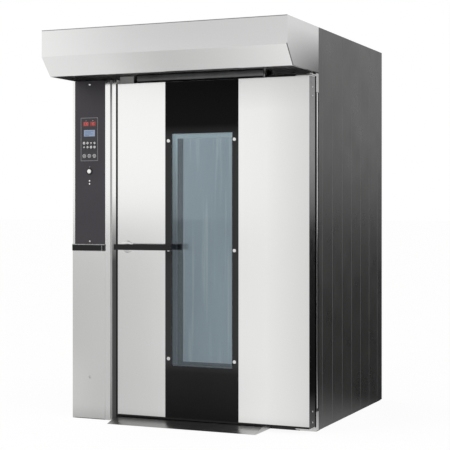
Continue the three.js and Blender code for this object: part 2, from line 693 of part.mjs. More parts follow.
function ramp() {
  const t = RAMP_SHEET;
  const tip = DOOR_FRONT - RAMP_FRONT;
  const crest = DOOR_FRONT - RAMP_FLAT;
  const back = FRAME_FRONT - SEAT;
  const slope = RAMP_TOP_Z / (crest - tip);
  const sheet = [
    [tip, 0],
    [tip + t / slope, 0],
    [crest + t * slope, RAMP_TOP_Z - t],
    [back - t, RAMP_TOP_Z - t],
    [back - t, 0],
    [back, 0],
    [back, RAMP_TOP_Z],
    [crest, RAMP_TOP_Z],
  ];
  const cheek = [
    [tip + t / slope, 0],
    [back, 0],
    [back, RAMP_TOP_Z - 1],
    [crest + t * slope, RAMP_TOP_Z - 1],
  ];
  const left = OPENING_LEFT - RAMP_LAP;
  const right = OPENING_RIGHT + RAMP_LAP;
  return join(runX(sheet, left, right), runX(cheek, left, left + t), runX(cheek, right - t, right));
}
add("ramp", ramp(), BRIGHT_STEEL);

// ---------------------------------------------------------------- hood
const HOOD_BACK = SIDE_FRONT - SEAT;

function hoodShell() {
  const t = OUTER_SHEET;
  const [low, fold, top] = [HOOD_LOW_Z, HOOD_FOLD_Z, OVEN_HEIGHT];
  const lip = HOOD_FRONT + HOOD_CHAMFER;
  const section = [[HOOD_FRONT, top], [HOOD_FRONT, fold], [lip, low], [HOOD_BACK, low], [HOOD_BACK, top]];
  const inside = [
    [HOOD_FRONT + t, ROOF_Z - t],
    [HOOD_FRONT + t, fold + t / 2],
    [lip + 2 * t, low - t],
    [HOOD_BACK - t, low - t],
    [HOOD_BACK - t, ROOF_Z - t],
  ];
  const above = block(LEFT + t, RIGHT - t, HOOD_FRONT + t, HOOD_BACK + 1, ROOF_Z, top + 1);
  const collarHoleRadius = HOOD_COLLAR_RADIUS + RUN_CLEARANCE;
  const collarHole = drum(HOOD_FAN_X, HOOD_FAN_Y, collarHoleRadius, ROOF_Z - 9, ROOF_Z + 9, WIDE_ROUND);
  const shell = cut(runX(section, LEFT, RIGHT), runX(inside, LEFT + t, RIGHT - t), above, collarHole);
  const topHem = block(LEFT, RIGHT, HOOD_FRONT, HOOD_FRONT + HOOD_HEM, top - t, top);
  const lowHem = block(LEFT, RIGHT, lip, lip + HOOD_HEM, low, low + t);
  const endHems = [LEFT, RIGHT - HOOD_HEM].map((x) => block(x, x + HOOD_HEM, lip, HOOD_BACK, low, low + t));
  const backHem = block(LEFT, RIGHT, HOOD_BACK - HOOD_HEM, HOOD_BACK, low, low + t);
  return join(shell, topHem, lowHem, ...endHems, backHem);
}
add("hood_shell", hoodShell(), STAINLESS);

// A slotted tray that catches the condensate before the hood's fan.
const BAFFLE_MARGIN = 80; // plain sheet at each end of the slots
const BAFFLE_SLOT_WIDTH = 22;
const BAFFLE_SLOT_SHARE = 0.76; // of the pitch along the hood
const BAFFLE_ROWS = [0.34, 0.5, 0.66]; // of the tray's depth
function hoodBaffle() {
  const t = OUTER_SHEET;
  const z = HOOD_LOW_Z + HOOD_FILTER_RISE;
  const slopeY = HOOD_FRONT + (HOOD_CHAMFER * (HOOD_FOLD_Z - z)) / (HOOD_FOLD_Z - HOOD_LOW_Z);
  const front = slopeY + 2 * t + SEAT;
  const back = HOOD_BACK - t - SEAT;
  const edge = rectangle(LEFT + t + SEAT, RIGHT - t - SEAT, front, back);
  const slots = [];
  const pitch = (OVEN_WIDTH - 2 * BAFFLE_MARGIN) / HOOD_SLOT_COLUMNS;
  const half = (pitch * BAFFLE_SLOT_SHARE) / 2;
  for (let column = 0; column < HOOD_SLOT_COLUMNS; column += 1) {
    const x = LEFT + BAFFLE_MARGIN + pitch * (column + 0.5);
    for (const y of BAFFLE_ROWS.map((share) => front + share * (back - front))) {
      slots.push(rectangle(x - half, x + half, y - BAFFLE_SLOT_WIDTH / 2, y + BAFFLE_SLOT_WIDTH / 2));
    }
  }
  const plate = rise(edge, z, z + t, slots);
  const lip = block(LEFT + t + SEAT, RIGHT - t - SEAT, front, front + t, z, z + HOOD_FILTER_THICK);
  const rear = block(LEFT + t + SEAT, RIGHT - t - SEAT, back - t, back, z, z + HOOD_FILTER_THICK);
  return join(plate, lip, rear);
}
add("hood_baffle", hoodBaffle(), STAINLESS);

const HOOD_FAN_TOP = ROOF_Z - OUTER_SHEET - SEAT;
const HOOD_WHEEL_DROP = 18; // the wheel's top under the casing's
const HOOD_WHEEL_LOW = HOOD_FAN_TOP - HOOD_WHEEL_DROP - HOOD_FAN_HEIGHT;
const HOOD_MOTOR_RADIUS = 32;
const HOOD_SHAFT_RADIUS = 5;
const HOOD_HUB_RADIUS = 14;
const HOOD_BELL_GAP = 12; // between the wheel's rim and the bell
const HOOD_BELL_LIP = 25; // of the bell's floor under the wheel
const HOOD_RIM_RECESS = 6; // the collar's rim under the oven's top
const SPIDER_BAR = 8; // thick and wide
const INLET_RING_WIDTH = 18;

// The bell-shaped casing hung under the hood's top sheet, with its outlet collar and motor spider.
function hoodFanCasing() {
  const t = OUTER_SHEET;
  const wide = HOOD_FAN_RADIUS + HOOD_BELL_GAP;
  const mouth = HOOD_FAN_RADIUS - HOOD_BELL_LIP;
  const low = HOOD_WHEEL_LOW - 6;
  const rim = OVEN_HEIGHT - HOOD_RIM_RECESS;
  const bell = turned(
    [
      [mouth, low],
      [wide + t, low],
      [wide + t, HOOD_FAN_TOP],
      [HOOD_COLLAR_RADIUS, HOOD_FAN_TOP],
      [HOOD_COLLAR_RADIUS, rim],
      [HOOD_COLLAR_RADIUS - t, rim],
      [HOOD_COLLAR_RADIUS - t, HOOD_FAN_TOP - t],
      [wide, HOOD_FAN_TOP - t],
      [wide, low + t],
      [mouth, low + t],
      [mouth, low],
    ],
    HOOD_FAN_X,
    HOOD_FAN_Y,
    WIDE_ROUND,
  );
  const spiderZ = HOOD_FAN_TOP + 4;
  const spiderTop = spiderZ + SPIDER_BAR;
  const reach = HOOD_COLLAR_RADIUS - t / 2;
  const [x, y] = [HOOD_FAN_X, HOOD_FAN_Y];
  const arm = (alongX, alongY) => block(x - alongX, x + alongX, y - alongY, y + alongY, spiderZ, spiderTop);
  const wheelTop = HOOD_WHEEL_LOW + HOOD_FAN_HEIGHT;
  const motor = drum(x, y, HOOD_MOTOR_RADIUS, wheelTop + SEAT, spiderTop);
  const shaft = drum(x, y, HOOD_SHAFT_RADIUS, HOOD_WHEEL_LOW + 6, wheelTop + 1);
  return join(bell, arm(reach, SPIDER_BAR / 2), arm(SPIDER_BAR / 2, reach), motor, shaft);
}
add("hood_fan_casing", hoodFanCasing(), BRIGHT_STEEL);

// Blades of a centrifugal wheel: thin arcs leaning back from the turning direction.
function leaningBlades(axis, count, inner, outer, lean, thick, z0, z1) {
  const steps = 3;
  return Array.from({ length: count }, (_, blade) => {
    const side = (offset) =>
      Array.from({ length: steps + 1 }, (__, i) => {
        const share = i / steps;
        const radius = inner + (outer - inner) * share;
        const angle = (2 * Math.PI * blade) / count - lean * share * (0.6 + 0.4 * share) + offset / radius;
        return [axis[0] + radius * Math.cos(angle), axis[1] + radius * Math.sin(angle)];
      });
    return rise([...side(-thick / 2), ...side(thick / 2).reverse()], z0, z1);
  });
}

function hoodFanWheel() {
  const [low, high] = [HOOD_WHEEL_LOW, HOOD_WHEEL_LOW + HOOD_FAN_HEIGHT];
  const bore = HOOD_SHAFT_RADIUS + RUN_CLEARANCE;
  const hub = HOOD_HUB_RADIUS;
  const r = HOOD_FAN_RADIUS;
  const eye = r - INLET_RING_WIDTH;
  const axis = [HOOD_FAN_X, HOOD_FAN_Y];
  const section = [
    [bore, low],
    [hub, low],
    [hub, high - 3],
    [r, high - 3],
    [r, high],
    [bore, high],
    [bore, low],
  ];
  const back = turned(section, ...axis);
  const ring = turned([[eye, low], [r, low], [r, low + 2], [eye, low + 2], [eye, low]], ...axis);
  const blades = leaningBlades(axis, HOOD_FAN_BLADES, r * 0.62, r - 2, 0.5, 2, low + 1, high - 1);
  return join(back, ring, ...blades);
}
add("hood_fan_wheel", hoodFanWheel(), BLACK_STEEL);

// The door switch sits on the frame over the door's free corner, under the hood.
function doorSwitchBox() {
  const z = DOOR_TOP_Z + SWITCH_GAP;
  const back = FRAME_FRONT - SEAT;
  const front = back - SWITCH_BOX_DEPTH;
  const box = block(SWITCH_BOX_LEFT, SWITCH_BOX_RIGHT, front, back, z, z + SWITCH_BOX_HEIGHT);
  const rollerX = SWITCH_BOX_RIGHT - SWITCH_ROLLER_INSET;
  const roller = pinY(rollerX, z, SWITCH_ROLLER_RADIUS, front + 12, front + 24);
  return join(box, roller);
}
add("door_switch_box", doorSwitchBox(), CAST_ALUMINIUM);

// ---------------------------------------------------------------- control column
const COLUMN_FACE = DOOR_FRONT + OUTER_SHEET + SEAT; // the covers lie on it
const COLUMN_BACK = SIDE_FRONT - SEAT;
const DIVIDER_TOP_Z = DIVIDER_LOW_Z + DIVIDER_HEIGHT;
const COVER_BACK = COLUMN_FACE - SEAT;
const BRIDGE_LAP = 12; // of the cross-sheet over and under the divider

function columnCasing() {
  const t = OUTER_SHEET;
  const plan = [
    [PANEL_LEFT, COLUMN_FACE],
    [LEFT, COLUMN_FACE],
    [LEFT, COLUMN_BACK],
    [LEFT + t, COLUMN_BACK],
    [LEFT + t, COLUMN_FACE + t],
    [PANEL_LEFT, COLUMN_FACE + t],
  ];
  const rightPlan = [
    [PANEL_RIGHT, COLUMN_FACE],
    [COLUMN_RIGHT, COLUMN_FACE],
    [COLUMN_RIGHT, COLUMN_BACK],
    [COLUMN_RIGHT - t, COLUMN_BACK],
    [COLUMN_RIGHT - t, COLUMN_FACE + t],
    [PANEL_RIGHT, COLUMN_FACE + t],
  ];
  const shelf = (z) => block(LEFT, COLUMN_RIGHT, COLUMN_FACE, COLUMN_BACK, z, z + t);
  const bridgeLow = DIVIDER_LOW_Z - BRIDGE_LAP;
  const bridgeTop = DIVIDER_TOP_Z + BRIDGE_LAP;
  const bridge = block(LEFT, COLUMN_RIGHT, COLUMN_FACE, COLUMN_FACE + t, bridgeLow, bridgeTop);
  return join(
    rise(plan, 0, FRONT_TOP_Z),
    rise(rightPlan, 0, FRONT_TOP_Z),
    shelf(0),
    shelf(FRONT_TOP_Z - t),
    bridge,
  );
}
add("column_casing", columnCasing(), STAINLESS);

const KEYPAD_X = PANEL_LEFT + KEYPAD_INSET;
const KEYPAD_Z = FRONT_TOP_Z - KEYPAD_DROP;
const BUTTON_Z = KEYPAD_Z - BUTTON_DROP;
const LAMP_Z = KEYPAD_Z - LAMP_DROP;
const LCD_Z = KEYPAD_Z + LCD_RISE;
const LED_WINDOW_Z = KEYPAD_Z + LED_WINDOW_RISE;
// Hole in the panel behind the keypad's foil
const KEYPAD_POCKET = rectangle(
  KEYPAD_X - KEYPAD_WIDTH / 2 + 12,
  KEYPAD_X + KEYPAD_WIDTH / 2 - 12,
  KEYPAD_Z - KEYPAD_HEIGHT / 2 + 12,
  KEYPAD_Z + KEYPAD_HEIGHT / 2 - 12,
);

function controlPanel() {
  const edge = rectangle(PANEL_LEFT + SEAT, PANEL_RIGHT - SEAT, DIVIDER_TOP_Z + SEAT, FRONT_TOP_Z - SEAT);
  const holes = [
    KEYPAD_POCKET,
    circle(KEYPAD_X, BUTTON_Z, BUTTON_RADIUS + RUN_CLEARANCE + 1),
    circle(KEYPAD_X, LAMP_Z + LAMP_PITCH / 2, LAMP_RADIUS + SEAT),
    circle(KEYPAD_X, LAMP_Z - LAMP_PITCH / 2, LAMP_RADIUS + SEAT),
  ];
  const face = runY(edge, DOOR_FRONT, COVER_BACK, holes);
  const collar = BUTTON_RADIUS + RUN_CLEARANCE;
  const ring = turnedY(
    [
      [collar, DOOR_FRONT - 4],
      [collar + BUTTON_COLLAR, DOOR_FRONT - 3],
      [collar + BUTTON_COLLAR, DOOR_FRONT + 1],
      [collar + 2, DOOR_FRONT + 1],
      [collar + 2, DOOR_FRONT + 22],
      [collar, DOOR_FRONT + 22],
      [collar, DOOR_FRONT - 4],
    ],
    KEYPAD_X,
    BUTTON_Z,
  );
  return join(face, ring);
}
add("control_panel", controlPanel(), CONTROL_SHEET);

function pushButton() {
  const r = BUTTON_RADIUS;
  const front = DOOR_FRONT - BUTTON_PROUD;
  return turnedY(
    [
      [0, front],
      [r - 4, front],
      [r - 1, front + 1.5],
      [r, front + 4],
      [r, DOOR_FRONT + 12],
      [5, DOOR_FRONT + 12],
      [5, DOOR_FRONT + 30],
      [0, DOOR_FRONT + 30],
    ],
    KEYPAD_X,
    BUTTON_Z,
  );
}
add("push_button", pushButton(), LAMP_WHITE);

// Two small lamps on one holder behind the panel.
function signalLamps() {
  const lenses = [1, -1].map((side) =>
    turnedY(
      [
        [0, DOOR_FRONT - 3],
        [LAMP_RADIUS * 0.6, DOOR_FRONT - 2.4],
        [LAMP_RADIUS, DOOR_FRONT - 0.5],
        [LAMP_RADIUS, DOOR_FRONT + 14],
        [0, DOOR_FRONT + 14],
      ],
      KEYPAD_X,
      LAMP_Z + (side * LAMP_PITCH) / 2,
      SMALL_ROUND,
    ),
  );
  const half = LAMP_PITCH / 2 + LAMP_RADIUS + 4;
  const front = COVER_BACK + SEAT;
  const holder = block(KEYPAD_X - 12, KEYPAD_X + 12, front, front + 8, LAMP_Z - half, LAMP_Z + half);
  return join(holder, ...lenses);
}
add("signal_lamps", signalLamps(), LAMP_WHITE);

// The printed foil with its key domes, and windows over the two red counters and the text display.
const LENS_FRONT = DOOR_FRONT + SEAT;
const LED_WINDOWS = [-1, 1].map((side) =>
  rectangle(
    KEYPAD_X + (side * LED_WINDOW_PITCH) / 2 - LED_WINDOW_WIDTH / 2,
    KEYPAD_X + (side * LED_WINDOW_PITCH) / 2 + LED_WINDOW_WIDTH / 2,
    LED_WINDOW_Z - LED_WINDOW_HEIGHT / 2,
    LED_WINDOW_Z + LED_WINDOW_HEIGHT / 2,
  ),
);
const LCD_WINDOW = rectangle(
  KEYPAD_X - LCD_WIDTH / 2,
  KEYPAD_X + LCD_WIDTH / 2,
  LCD_Z - LCD_HEIGHT / 2,
  LCD_Z + LCD_HEIGHT / 2,
);

function keypadFoil() {
  const [w, h] = [KEYPAD_WIDTH / 2, KEYPAD_HEIGHT / 2];
  const edge = rectangle(KEYPAD_X - w, KEYPAD_X + w, KEYPAD_Z - h, KEYPAD_Z + h);
  const back = DOOR_FRONT - SEAT;
  const front = back - KEYPAD_THICK;
  const foil = runY(edge, front, back, [...LED_WINDOWS, LCD_WINDOW]);
  const domes = [];
  for (const row of [-0.5, 0.5]) {
    for (const column of [-1.5, -0.5, 0.5, 1.5]) {
      const x = KEYPAD_X + column * KEY_PITCH_X;
      const z = KEYPAD_Z - KEY_BLOCK_DROP + row * KEY_PITCH_Z;
      const half = KEY_SIZE / 2;
      domes.push(runY(rectangle(x - half, x + half, z - half, z + half), front - KEY_DOME, front + 0.5));
    }
  }
  for (const column of [-1, 0, 1]) {
    const x = KEYPAD_X + column * ROUND_KEY_PITCH;
    domes.push(pinY(x, KEYPAD_Z - ROUND_KEY_DROP, ROUND_KEY_RADIUS, front - KEY_DOME, front + 0.5));
  }
  return join(foil, ...domes);
}
add("keypad_foil", keypadFoil(), KEY_FOIL);

function displayBoard() {
  const [x0, x1] = [KEYPAD_POCKET[0][0] + SEAT, KEYPAD_POCKET[1][0] - SEAT];
  const [z0, z1] = [KEYPAD_POCKET[0][1] + SEAT, KEYPAD_POCKET[2][1] - SEAT];
  const board = block(x0, x1, LENS_FRONT + LENS_THICK, LENS_FRONT + LENS_THICK + 18, z0, z1);
  const lens = block(x0, x1, LENS_FRONT, LENS_FRONT + LENS_THICK + 1, LCD_Z - LCD_HEIGHT, z1);
  return join(board, lens);
}
add("display_board", displayBoard(), DISPLAY_LENS);

function dividerStrip() {
  const face = DOOR_FRONT - 6;
  const [x0, x1, z0, z1] = [LEFT, PANEL_RIGHT - SEAT, DIVIDER_LOW_Z, DIVIDER_TOP_Z];
  const bar = block(x0, x1, face, COVER_BACK, z0, z1);
  const groove = block(PANEL_RIGHT - 20, PANEL_RIGHT - 17, face - 1, face + 1.5, z0 - 1, z1 + 1);
  return cut(bar, groove);
}
add("divider_strip", dividerStrip(), BLACK_STEEL);

function lowerPanel() {
  const top = DIVIDER_LOW_Z - PANEL_GAP;
  const edge = rectangle(LEFT, PANEL_RIGHT - SEAT, SIDE_FOOT_Z, top);
  const hole = circle(KEYPAD_X, LOCK_Z, LOCK_RADIUS + SEAT);
  const face = runY(edge, DOOR_FRONT, COVER_BACK, [hole]);
  const foldZ = SIDE_FOOT_Z + 8;
  const [foldLeft, foldRight] = [PANEL_LEFT + 6, PANEL_RIGHT - 8];
  const returnEdge = block(foldLeft, foldRight, COVER_BACK - 0.5, COVER_BACK + 12, foldZ, foldZ + 2);
  return join(face, returnEdge);
}
add("lower_panel", lowerPanel(), STAINLESS);

function panelLock() {
  const head = turnedY(
    [
      [0, DOOR_FRONT - 2],
      [LOCK_RADIUS - 1, DOOR_FRONT - 2],
      [LOCK_RADIUS, DOOR_FRONT - 1],
      [LOCK_RADIUS, DOOR_FRONT + 12],
      [0, DOOR_FRONT + 12],
    ],
    KEYPAD_X,
    LOCK_Z,
  );
  const keyhole = block(KEYPAD_X - 1, KEYPAD_X + 1, DOOR_FRONT - 3, DOOR_FRONT + 3, LOCK_Z - 5, LOCK_Z + 5);
  const cam = block(KEYPAD_X - 6, KEYPAD_X + 6, DOOR_FRONT + 9, DOOR_FRONT + 12, LOCK_Z - 4, LOCK_Z + 30);
  return join(cut(head, keyhole), cam);
}
add("panel_lock", panelLock(), BRIGHT_STEEL);

// Two rows of contactors, the terminals and the fan's drive on their mounting plate.
function electricsPlate() {
  const back = COLUMN_BACK - 20;
  const [x0, x1] = [COVER_LEFT, COLUMN_RIGHT - OUTER_SHEET - SEAT];
  const plate = block(x0, x1, back - OUTER_SHEET, back, PLATE_LOW_Z, FRONT_TOP_Z - PLATE_HEAD_GAP);
  const margin = 12;
  const pitch = (x1 - x0 - 2 * margin) / CONTACTORS;
  const contactors = Array.from({ length: CONTACTORS }, (_, i) => {
    const left = x0 + margin + pitch * i;
    return [left + 4, left + pitch - 4];
  });
  const rows = [
    [CONTACTOR_HEIGHT, CONTACTOR_DEPTH, contactors],
    [CONTACTOR_HEIGHT, CONTACTOR_DEPTH - margin, contactors],
    [TERMINAL_HEIGHT, CONTACTOR_DEPTH / 2, [[x0 + margin, x1 - margin]]],
    [DRIVE_HEIGHT, CONTACTOR_DEPTH - margin, [[x0 + 2 * margin, x1 - 5 * margin]]],
  ];
  const parts = [];
  let z = PLATE_LOW_Z + DEVICE_GAP;
  for (const [height, depth, places] of rows) {
    parts.push(...places.map(([a, b]) => block(a, b, back - depth, back - 1, z, z + height)));
    z += height + DEVICE_GAP;
  }
  return join(plate, ...parts);
}
add("electrics_plate", electricsPlate(), CAST_ALUMINIUM);

// ---------------------------------------------------------------- door
const SKIN_BACK_Y = DOOR_FRONT + DOOR_SKIN;
const CASING_FRONT = SKIN_BACK_Y + SEAT;
const INNER_SKIN_FRONT = DOOR_BACK - DOOR_SKIN;
const CASING_BACK = INNER_SKIN_FRONT - SEAT;
const GLASS_BACK = DOOR_FRONT + GLASS_THICK;
const RIM_FRONT = GLASS_BACK + SEAT;
const LEDGE_FRONT = DOOR_FRONT + PANE_SETBACK;
const PANE_FRONT = LEDGE_FRONT + OUTER_SHEET + SEAT;
const WINDOW = rectangle(WINDOW_LEFT_X, WINDOW_RIGHT_X, WINDOW_BOTTOM_Z, WINDOW_TOP_Z);
const grown = (by) =>
  rectangle(WINDOW_LEFT_X - by, WINDOW_RIGHT_X + by, WINDOW_BOTTOM_Z - by, WINDOW_TOP_Z + by);
const DOOR_EDGE = rectangle(DOOR_LEFT, DOOR_RIGHT, DOOR_BOTTOM_Z, DOOR_TOP_Z);
const BUTTON_XS = [GLASS_LEFT_X + GLASS_BUTTON_INSET, GLASS_RIGHT_X - GLASS_BUTTON_INSET - 2];
const BUTTON_TOP_Z = WINDOW_TOP_Z - GLASS_BUTTON_END;
const BUTTON_PITCH = (BUTTON_TOP_Z - WINDOW_BOTTOM_Z - GLASS_BUTTON_END) / (GLASS_BUTTON_ROWS - 1);
const BUTTON_ZS = Array.from({ length: GLASS_BUTTON_ROWS }, (_, row) => BUTTON_TOP_Z - row * BUTTON_PITCH);
const HINGE_BUSH_RADIUS = HINGE_PIN_RADIUS + RUN_CLEARANCE + HINGE_BUSH_WALL;
const hingeHole = (z0, z1) => drum(HINGE_X, HINGE_Y, HINGE_BUSH_RADIUS + SEAT + 1, z0, z1);

const LATCH_LEFT = DOOR_LEFT + OUTER_SHEET / 2;
const LATCH_RIGHT = HANDLE_X + CRANK_RADIUS + 34;
const LATCH_LOW = HANDLE_Z - 36;
const LATCH_HIGH = BOLT_Z + BOLT_HEIGHT / 2 + 14;
const LATCH_FRONT = CASING_FRONT;
const LATCH_BACK = BOLT_Y + BOLT_THICK / 2 + 16;

// The case welded in the door's edge, which guides the bolt.
function latchCase() {
  const t = LATCH_WALL;
  const back = block(LATCH_LEFT, LATCH_RIGHT, LATCH_BACK - t, LATCH_BACK, LATCH_LOW, LATCH_HIGH);
  const lowWall = block(LATCH_LEFT, LATCH_RIGHT, LATCH_FRONT + 4, LATCH_BACK, LATCH_LOW, LATCH_LOW + t);
  const topWall = block(LATCH_LEFT, LATCH_RIGHT, LATCH_FRONT + 4, LATCH_BACK, LATCH_HIGH - t, LATCH_HIGH);
  const guide = block(LATCH_LEFT, LATCH_LEFT + 26, LATCH_FRONT + 4, LATCH_BACK, LATCH_LOW, LATCH_HIGH);
  const play = RUN_CLEARANCE;
  const bore = block(
    LATCH_LEFT - OUTER_SHEET,
    LATCH_LEFT + 27,
    BOLT_Y - BOLT_THICK / 2 - play,
    BOLT_Y + BOLT_THICK / 2 + play,
    BOLT_Z - BOLT_HEIGHT / 2 - play,
    BOLT_Z + BOLT_HEIGHT / 2 + play,
  );
  const shaftBore = HANDLE_SHAFT_RADIUS + RUN_CLEARANCE;
  const shaftHole = pinY(HANDLE_X, HANDLE_Z, shaftBore, LATCH_BACK - 9, LATCH_BACK + 9);
  return cut(join(back, lowWall, topWall, guide), bore, shaftHole);
}

// A tray of folded sheet, open to the front: edge walls, back and the walls round the window.
function doorCasing() {
  const t = OUTER_SHEET;
  const whole = runY(DOOR_EDGE, CASING_FRONT, CASING_BACK, [WINDOW]);
  const within = rectangle(DOOR_LEFT + t, DOOR_RIGHT - t, DOOR_BOTTOM_Z + t, DOOR_TOP_Z - t);
  const pocket = runY(within, CASING_FRONT - 1, CASING_BACK - t, [grown(t)]);
  const rim = runY(grown(WINDOW_FLANGE), RIM_FRONT, RIM_FRONT + t, [WINDOW]);
  const ledge = runY(grown(t / 2), LEDGE_FRONT, LEDGE_FRONT + t, [grown(-PANE_LEDGE)]);
  const glassBed = block(
    GLASS_LEFT_X - SEAT,
    GLASS_RIGHT_X + SEAT,
    DOOR_FRONT,
    RIM_FRONT,
    DOOR_BOTTOM_Z - 1,
    DOOR_TOP_Z + 1,
  );
  const shaftHole = pinY(HANDLE_X, HANDLE_Z, HANDLE_SHAFT_RADIUS + 2, CASING_BACK - 9, CASING_BACK + 9);
  const boltGap = RUN_CLEARANCE + 1;
  const boltHole = block(
    DOOR_LEFT - 1,
    DOOR_LEFT + t + 1,
    BOLT_Y - BOLT_THICK / 2 - boltGap,
    BOLT_Y + BOLT_THICK / 2 + boltGap,
    BOLT_Z - BOLT_HEIGHT / 2 - boltGap,
    BOLT_Z + BOLT_HEIGHT / 2 + boltGap,
  );
  const studHole = GLASS_BUTTON_STUD + RUN_CLEARANCE;
  const studHoles = BUTTON_XS.flatMap((x) =>
    BUTTON_ZS.map((z) => pinY(x, z, studHole, CASING_FRONT, CASING_FRONT + 20, SMALL_ROUND)),
  );
  const tools = [glassBed, shaftHole, boltHole, hingeHole(DOOR_TOP_Z - 9, DOOR_TOP_Z + 9)];
  tools.push(hingeHole(DOOR_BOTTOM_Z - 9, DOOR_BOTTOM_Z + 9), ...studHoles);
  return cut(join(cut(whole, pocket), rim, ledge, latchCase()), ...tools);
}
add("door_casing", doorCasing(), BLACK_STEEL);

// The chamber side of the door, with the sleeve that holds the inner pane against its ledge.
function doorInnerSkin() {
  const edge = rectangle(DOOR_LEFT + 3, DOOR_RIGHT - 3, DOOR_BOTTOM_Z + 3, DOOR_TOP_Z - 3);
  const hole = grown(-PANE_PLAY - OUTER_SHEET);
  const face = runY(edge, INNER_SKIN_FRONT, DOOR_BACK, [hole]);
  const sleeve = runY(grown(-PANE_PLAY), PANE_FRONT + GLASS_THICK + SEAT, DOOR_BACK - 1, [hole]);
  const shaftHole = pinY(HANDLE_X, HANDLE_Z, HANDLE_SHAFT_RADIUS + 2, DOOR_BACK - 9, DOOR_BACK + 9);
  return cut(join(face, sleeve), shaftHole);
}
add("door_inner_skin", doorInnerSkin(), STAINLESS);

// One of the two stainless face sheets beside the glass.
function doorSkin(x0, x1, holes = []) {
  const face = runY(rectangle(x0, x1, DOOR_BOTTOM_Z, DOOR_TOP_Z), DOOR_FRONT, SKIN_BACK_Y);
  return holes.length ? cut(face, ...holes) : face;
}
const skinHole = pinY(HANDLE_X, HANDLE_Z, HANDLE_SHAFT_RADIUS + 2, DOOR_FRONT - 9, DOOR_FRONT + 9);
add("door_skin_left", doorSkin(DOOR_LEFT, GLASS_LEFT_X - SEAT, [skinHole]), STAINLESS);
add("door_skin_right", doorSkin(GLASS_RIGHT_X + SEAT, DOOR_RIGHT), STAINLESS);

function doorGlassOuter() {
  const edge = rectangle(GLASS_LEFT_X, GLASS_RIGHT_X, DOOR_BOTTOM_Z + 1, DOOR_TOP_Z - 1);
  const hole = GLASS_BUTTON_STUD + RUN_CLEARANCE;
  const holes = BUTTON_XS.flatMap((x) => BUTTON_ZS.map((z) => circle(x, z, hole, SMALL_ROUND)));
  return runY(edge, DOOR_FRONT, GLASS_BACK, holes);
}
add("door_glass_outer", doorGlassOuter(), BLACK_GLASS);

// Three round heads on studs, held behind the glass by one bar.
function glassButtons(x) {
  const barFront = RIM_FRONT + OUTER_SHEET + SEAT;
  const heads = BUTTON_ZS.map((z) =>
    turnedY(
      [
        [0, DOOR_FRONT - GLASS_BUTTON_PROUD],
        [GLASS_BUTTON_RADIUS - 2, DOOR_FRONT - GLASS_BUTTON_PROUD],
        [GLASS_BUTTON_RADIUS, DOOR_FRONT - GLASS_BUTTON_PROUD + 2],
        [GLASS_BUTTON_RADIUS, DOOR_FRONT - SEAT],
        [GLASS_BUTTON_STUD, DOOR_FRONT - SEAT],
        [GLASS_BUTTON_STUD, barFront + 2],
        [0, barFront + 2],
      ],
      x,
      z,
      SMALL_ROUND,
    ),
  );
  const half = GLASS_BUTTON_STUD;
  const low = BUTTON_ZS[GLASS_BUTTON_ROWS - 1] - 14;
  const high = BUTTON_TOP_Z + 14;
  return join(block(x - half, x + half, barFront, barFront + 4, low, high), ...heads);
}
add("glass_buttons_left", glassButtons(BUTTON_XS[0]), BRIGHT_STEEL);
add("glass_buttons_right", glassButtons(BUTTON_XS[1]), BRIGHT_STEEL);

function innerGlass() {
  return runY(grown(-PANE_PLAY), PANE_FRONT, PANE_FRONT + GLASS_THICK);
}
add("door_glass_inner", innerGlass(), CLEAR_GLASS);

function doorInsulation() {
  const gap = OUTER_SHEET + SEAT;
  const edge = rectangle(DOOR_LEFT + gap, DOOR_RIGHT - gap, DOOR_BOTTOM_Z + gap, DOOR_TOP_Z - gap);
  const front = RIM_FRONT + OUTER_SHEET + 6;
  const slab = runY(edge, front, CASING_BACK - gap, [grown(gap)]);
  const latchPocket = block(
    DOOR_LEFT,
    LATCH_RIGHT + SEAT,
    LATCH_FRONT - 1,
    LATCH_BACK + SEAT,
    LATCH_LOW - SEAT,
    LATCH_HIGH + SEAT,
  );
  const shaftHole = pinY(HANDLE_X, HANDLE_Z, HANDLE_SHAFT_RADIUS + 2, front - 1, CASING_BACK + 9);
  const bush = (z0, z1) => drum(HINGE_X, HINGE_Y, HINGE_BUSH_RADIUS + 2, z0, z1);
  const deep = HINGE_BUSH_LENGTH + 8;
  return cut(
    slab,
    latchPocket,
    shaftHole,
    bush(DOOR_TOP_Z - deep, DOOR_TOP_Z),
    bush(DOOR_BOTTOM_Z, DOOR_BOTTOM_Z + deep),
  );
}
add("door_insulation", doorInsulation(), WOOL);

// ---------------------------------------------------------------- hinges
const ARM_LEFT = DOOR_RIGHT - HINGE_ARM_LENGTH;
const HINGE_BORE = HINGE_PIN_RADIUS + RUN_CLEARANCE;

// A plate on the door's end with a bush for the pin; side is 1 at the top and -1 at the bottom.
function doorHinge(side) {
  const edgeZ = side > 0 ? DOOR_TOP_Z : DOOR_BOTTOM_Z;
  const near = edgeZ + side * SEAT;
  const far = edgeZ + side * (SEAT + HINGE_PLATE);
  const [z0, z1] = [near, far].sort((a, b) => a - b);
  const deep = edgeZ - side * HINGE_BUSH_LENGTH;
  const [b0, b1] = [deep, far].sort((a, b) => a - b);
  const plate = block(ARM_LEFT, DOOR_RIGHT, DOOR_FRONT + 12, DOOR_BACK - 1, z0, z1);
  const bush = drum(HINGE_X, HINGE_Y, HINGE_BUSH_RADIUS, b0, b1);
  const bore = drum(HINGE_X, HINGE_Y, HINGE_BORE, b0 - 1, b1 + 1);
  return cut(join(plate, bush), bore);
}
add("door_hinge_top", doorHinge(1), BRIGHT_STEEL);
add("door_hinge_bottom", doorHinge(-1), BRIGHT_STEEL);

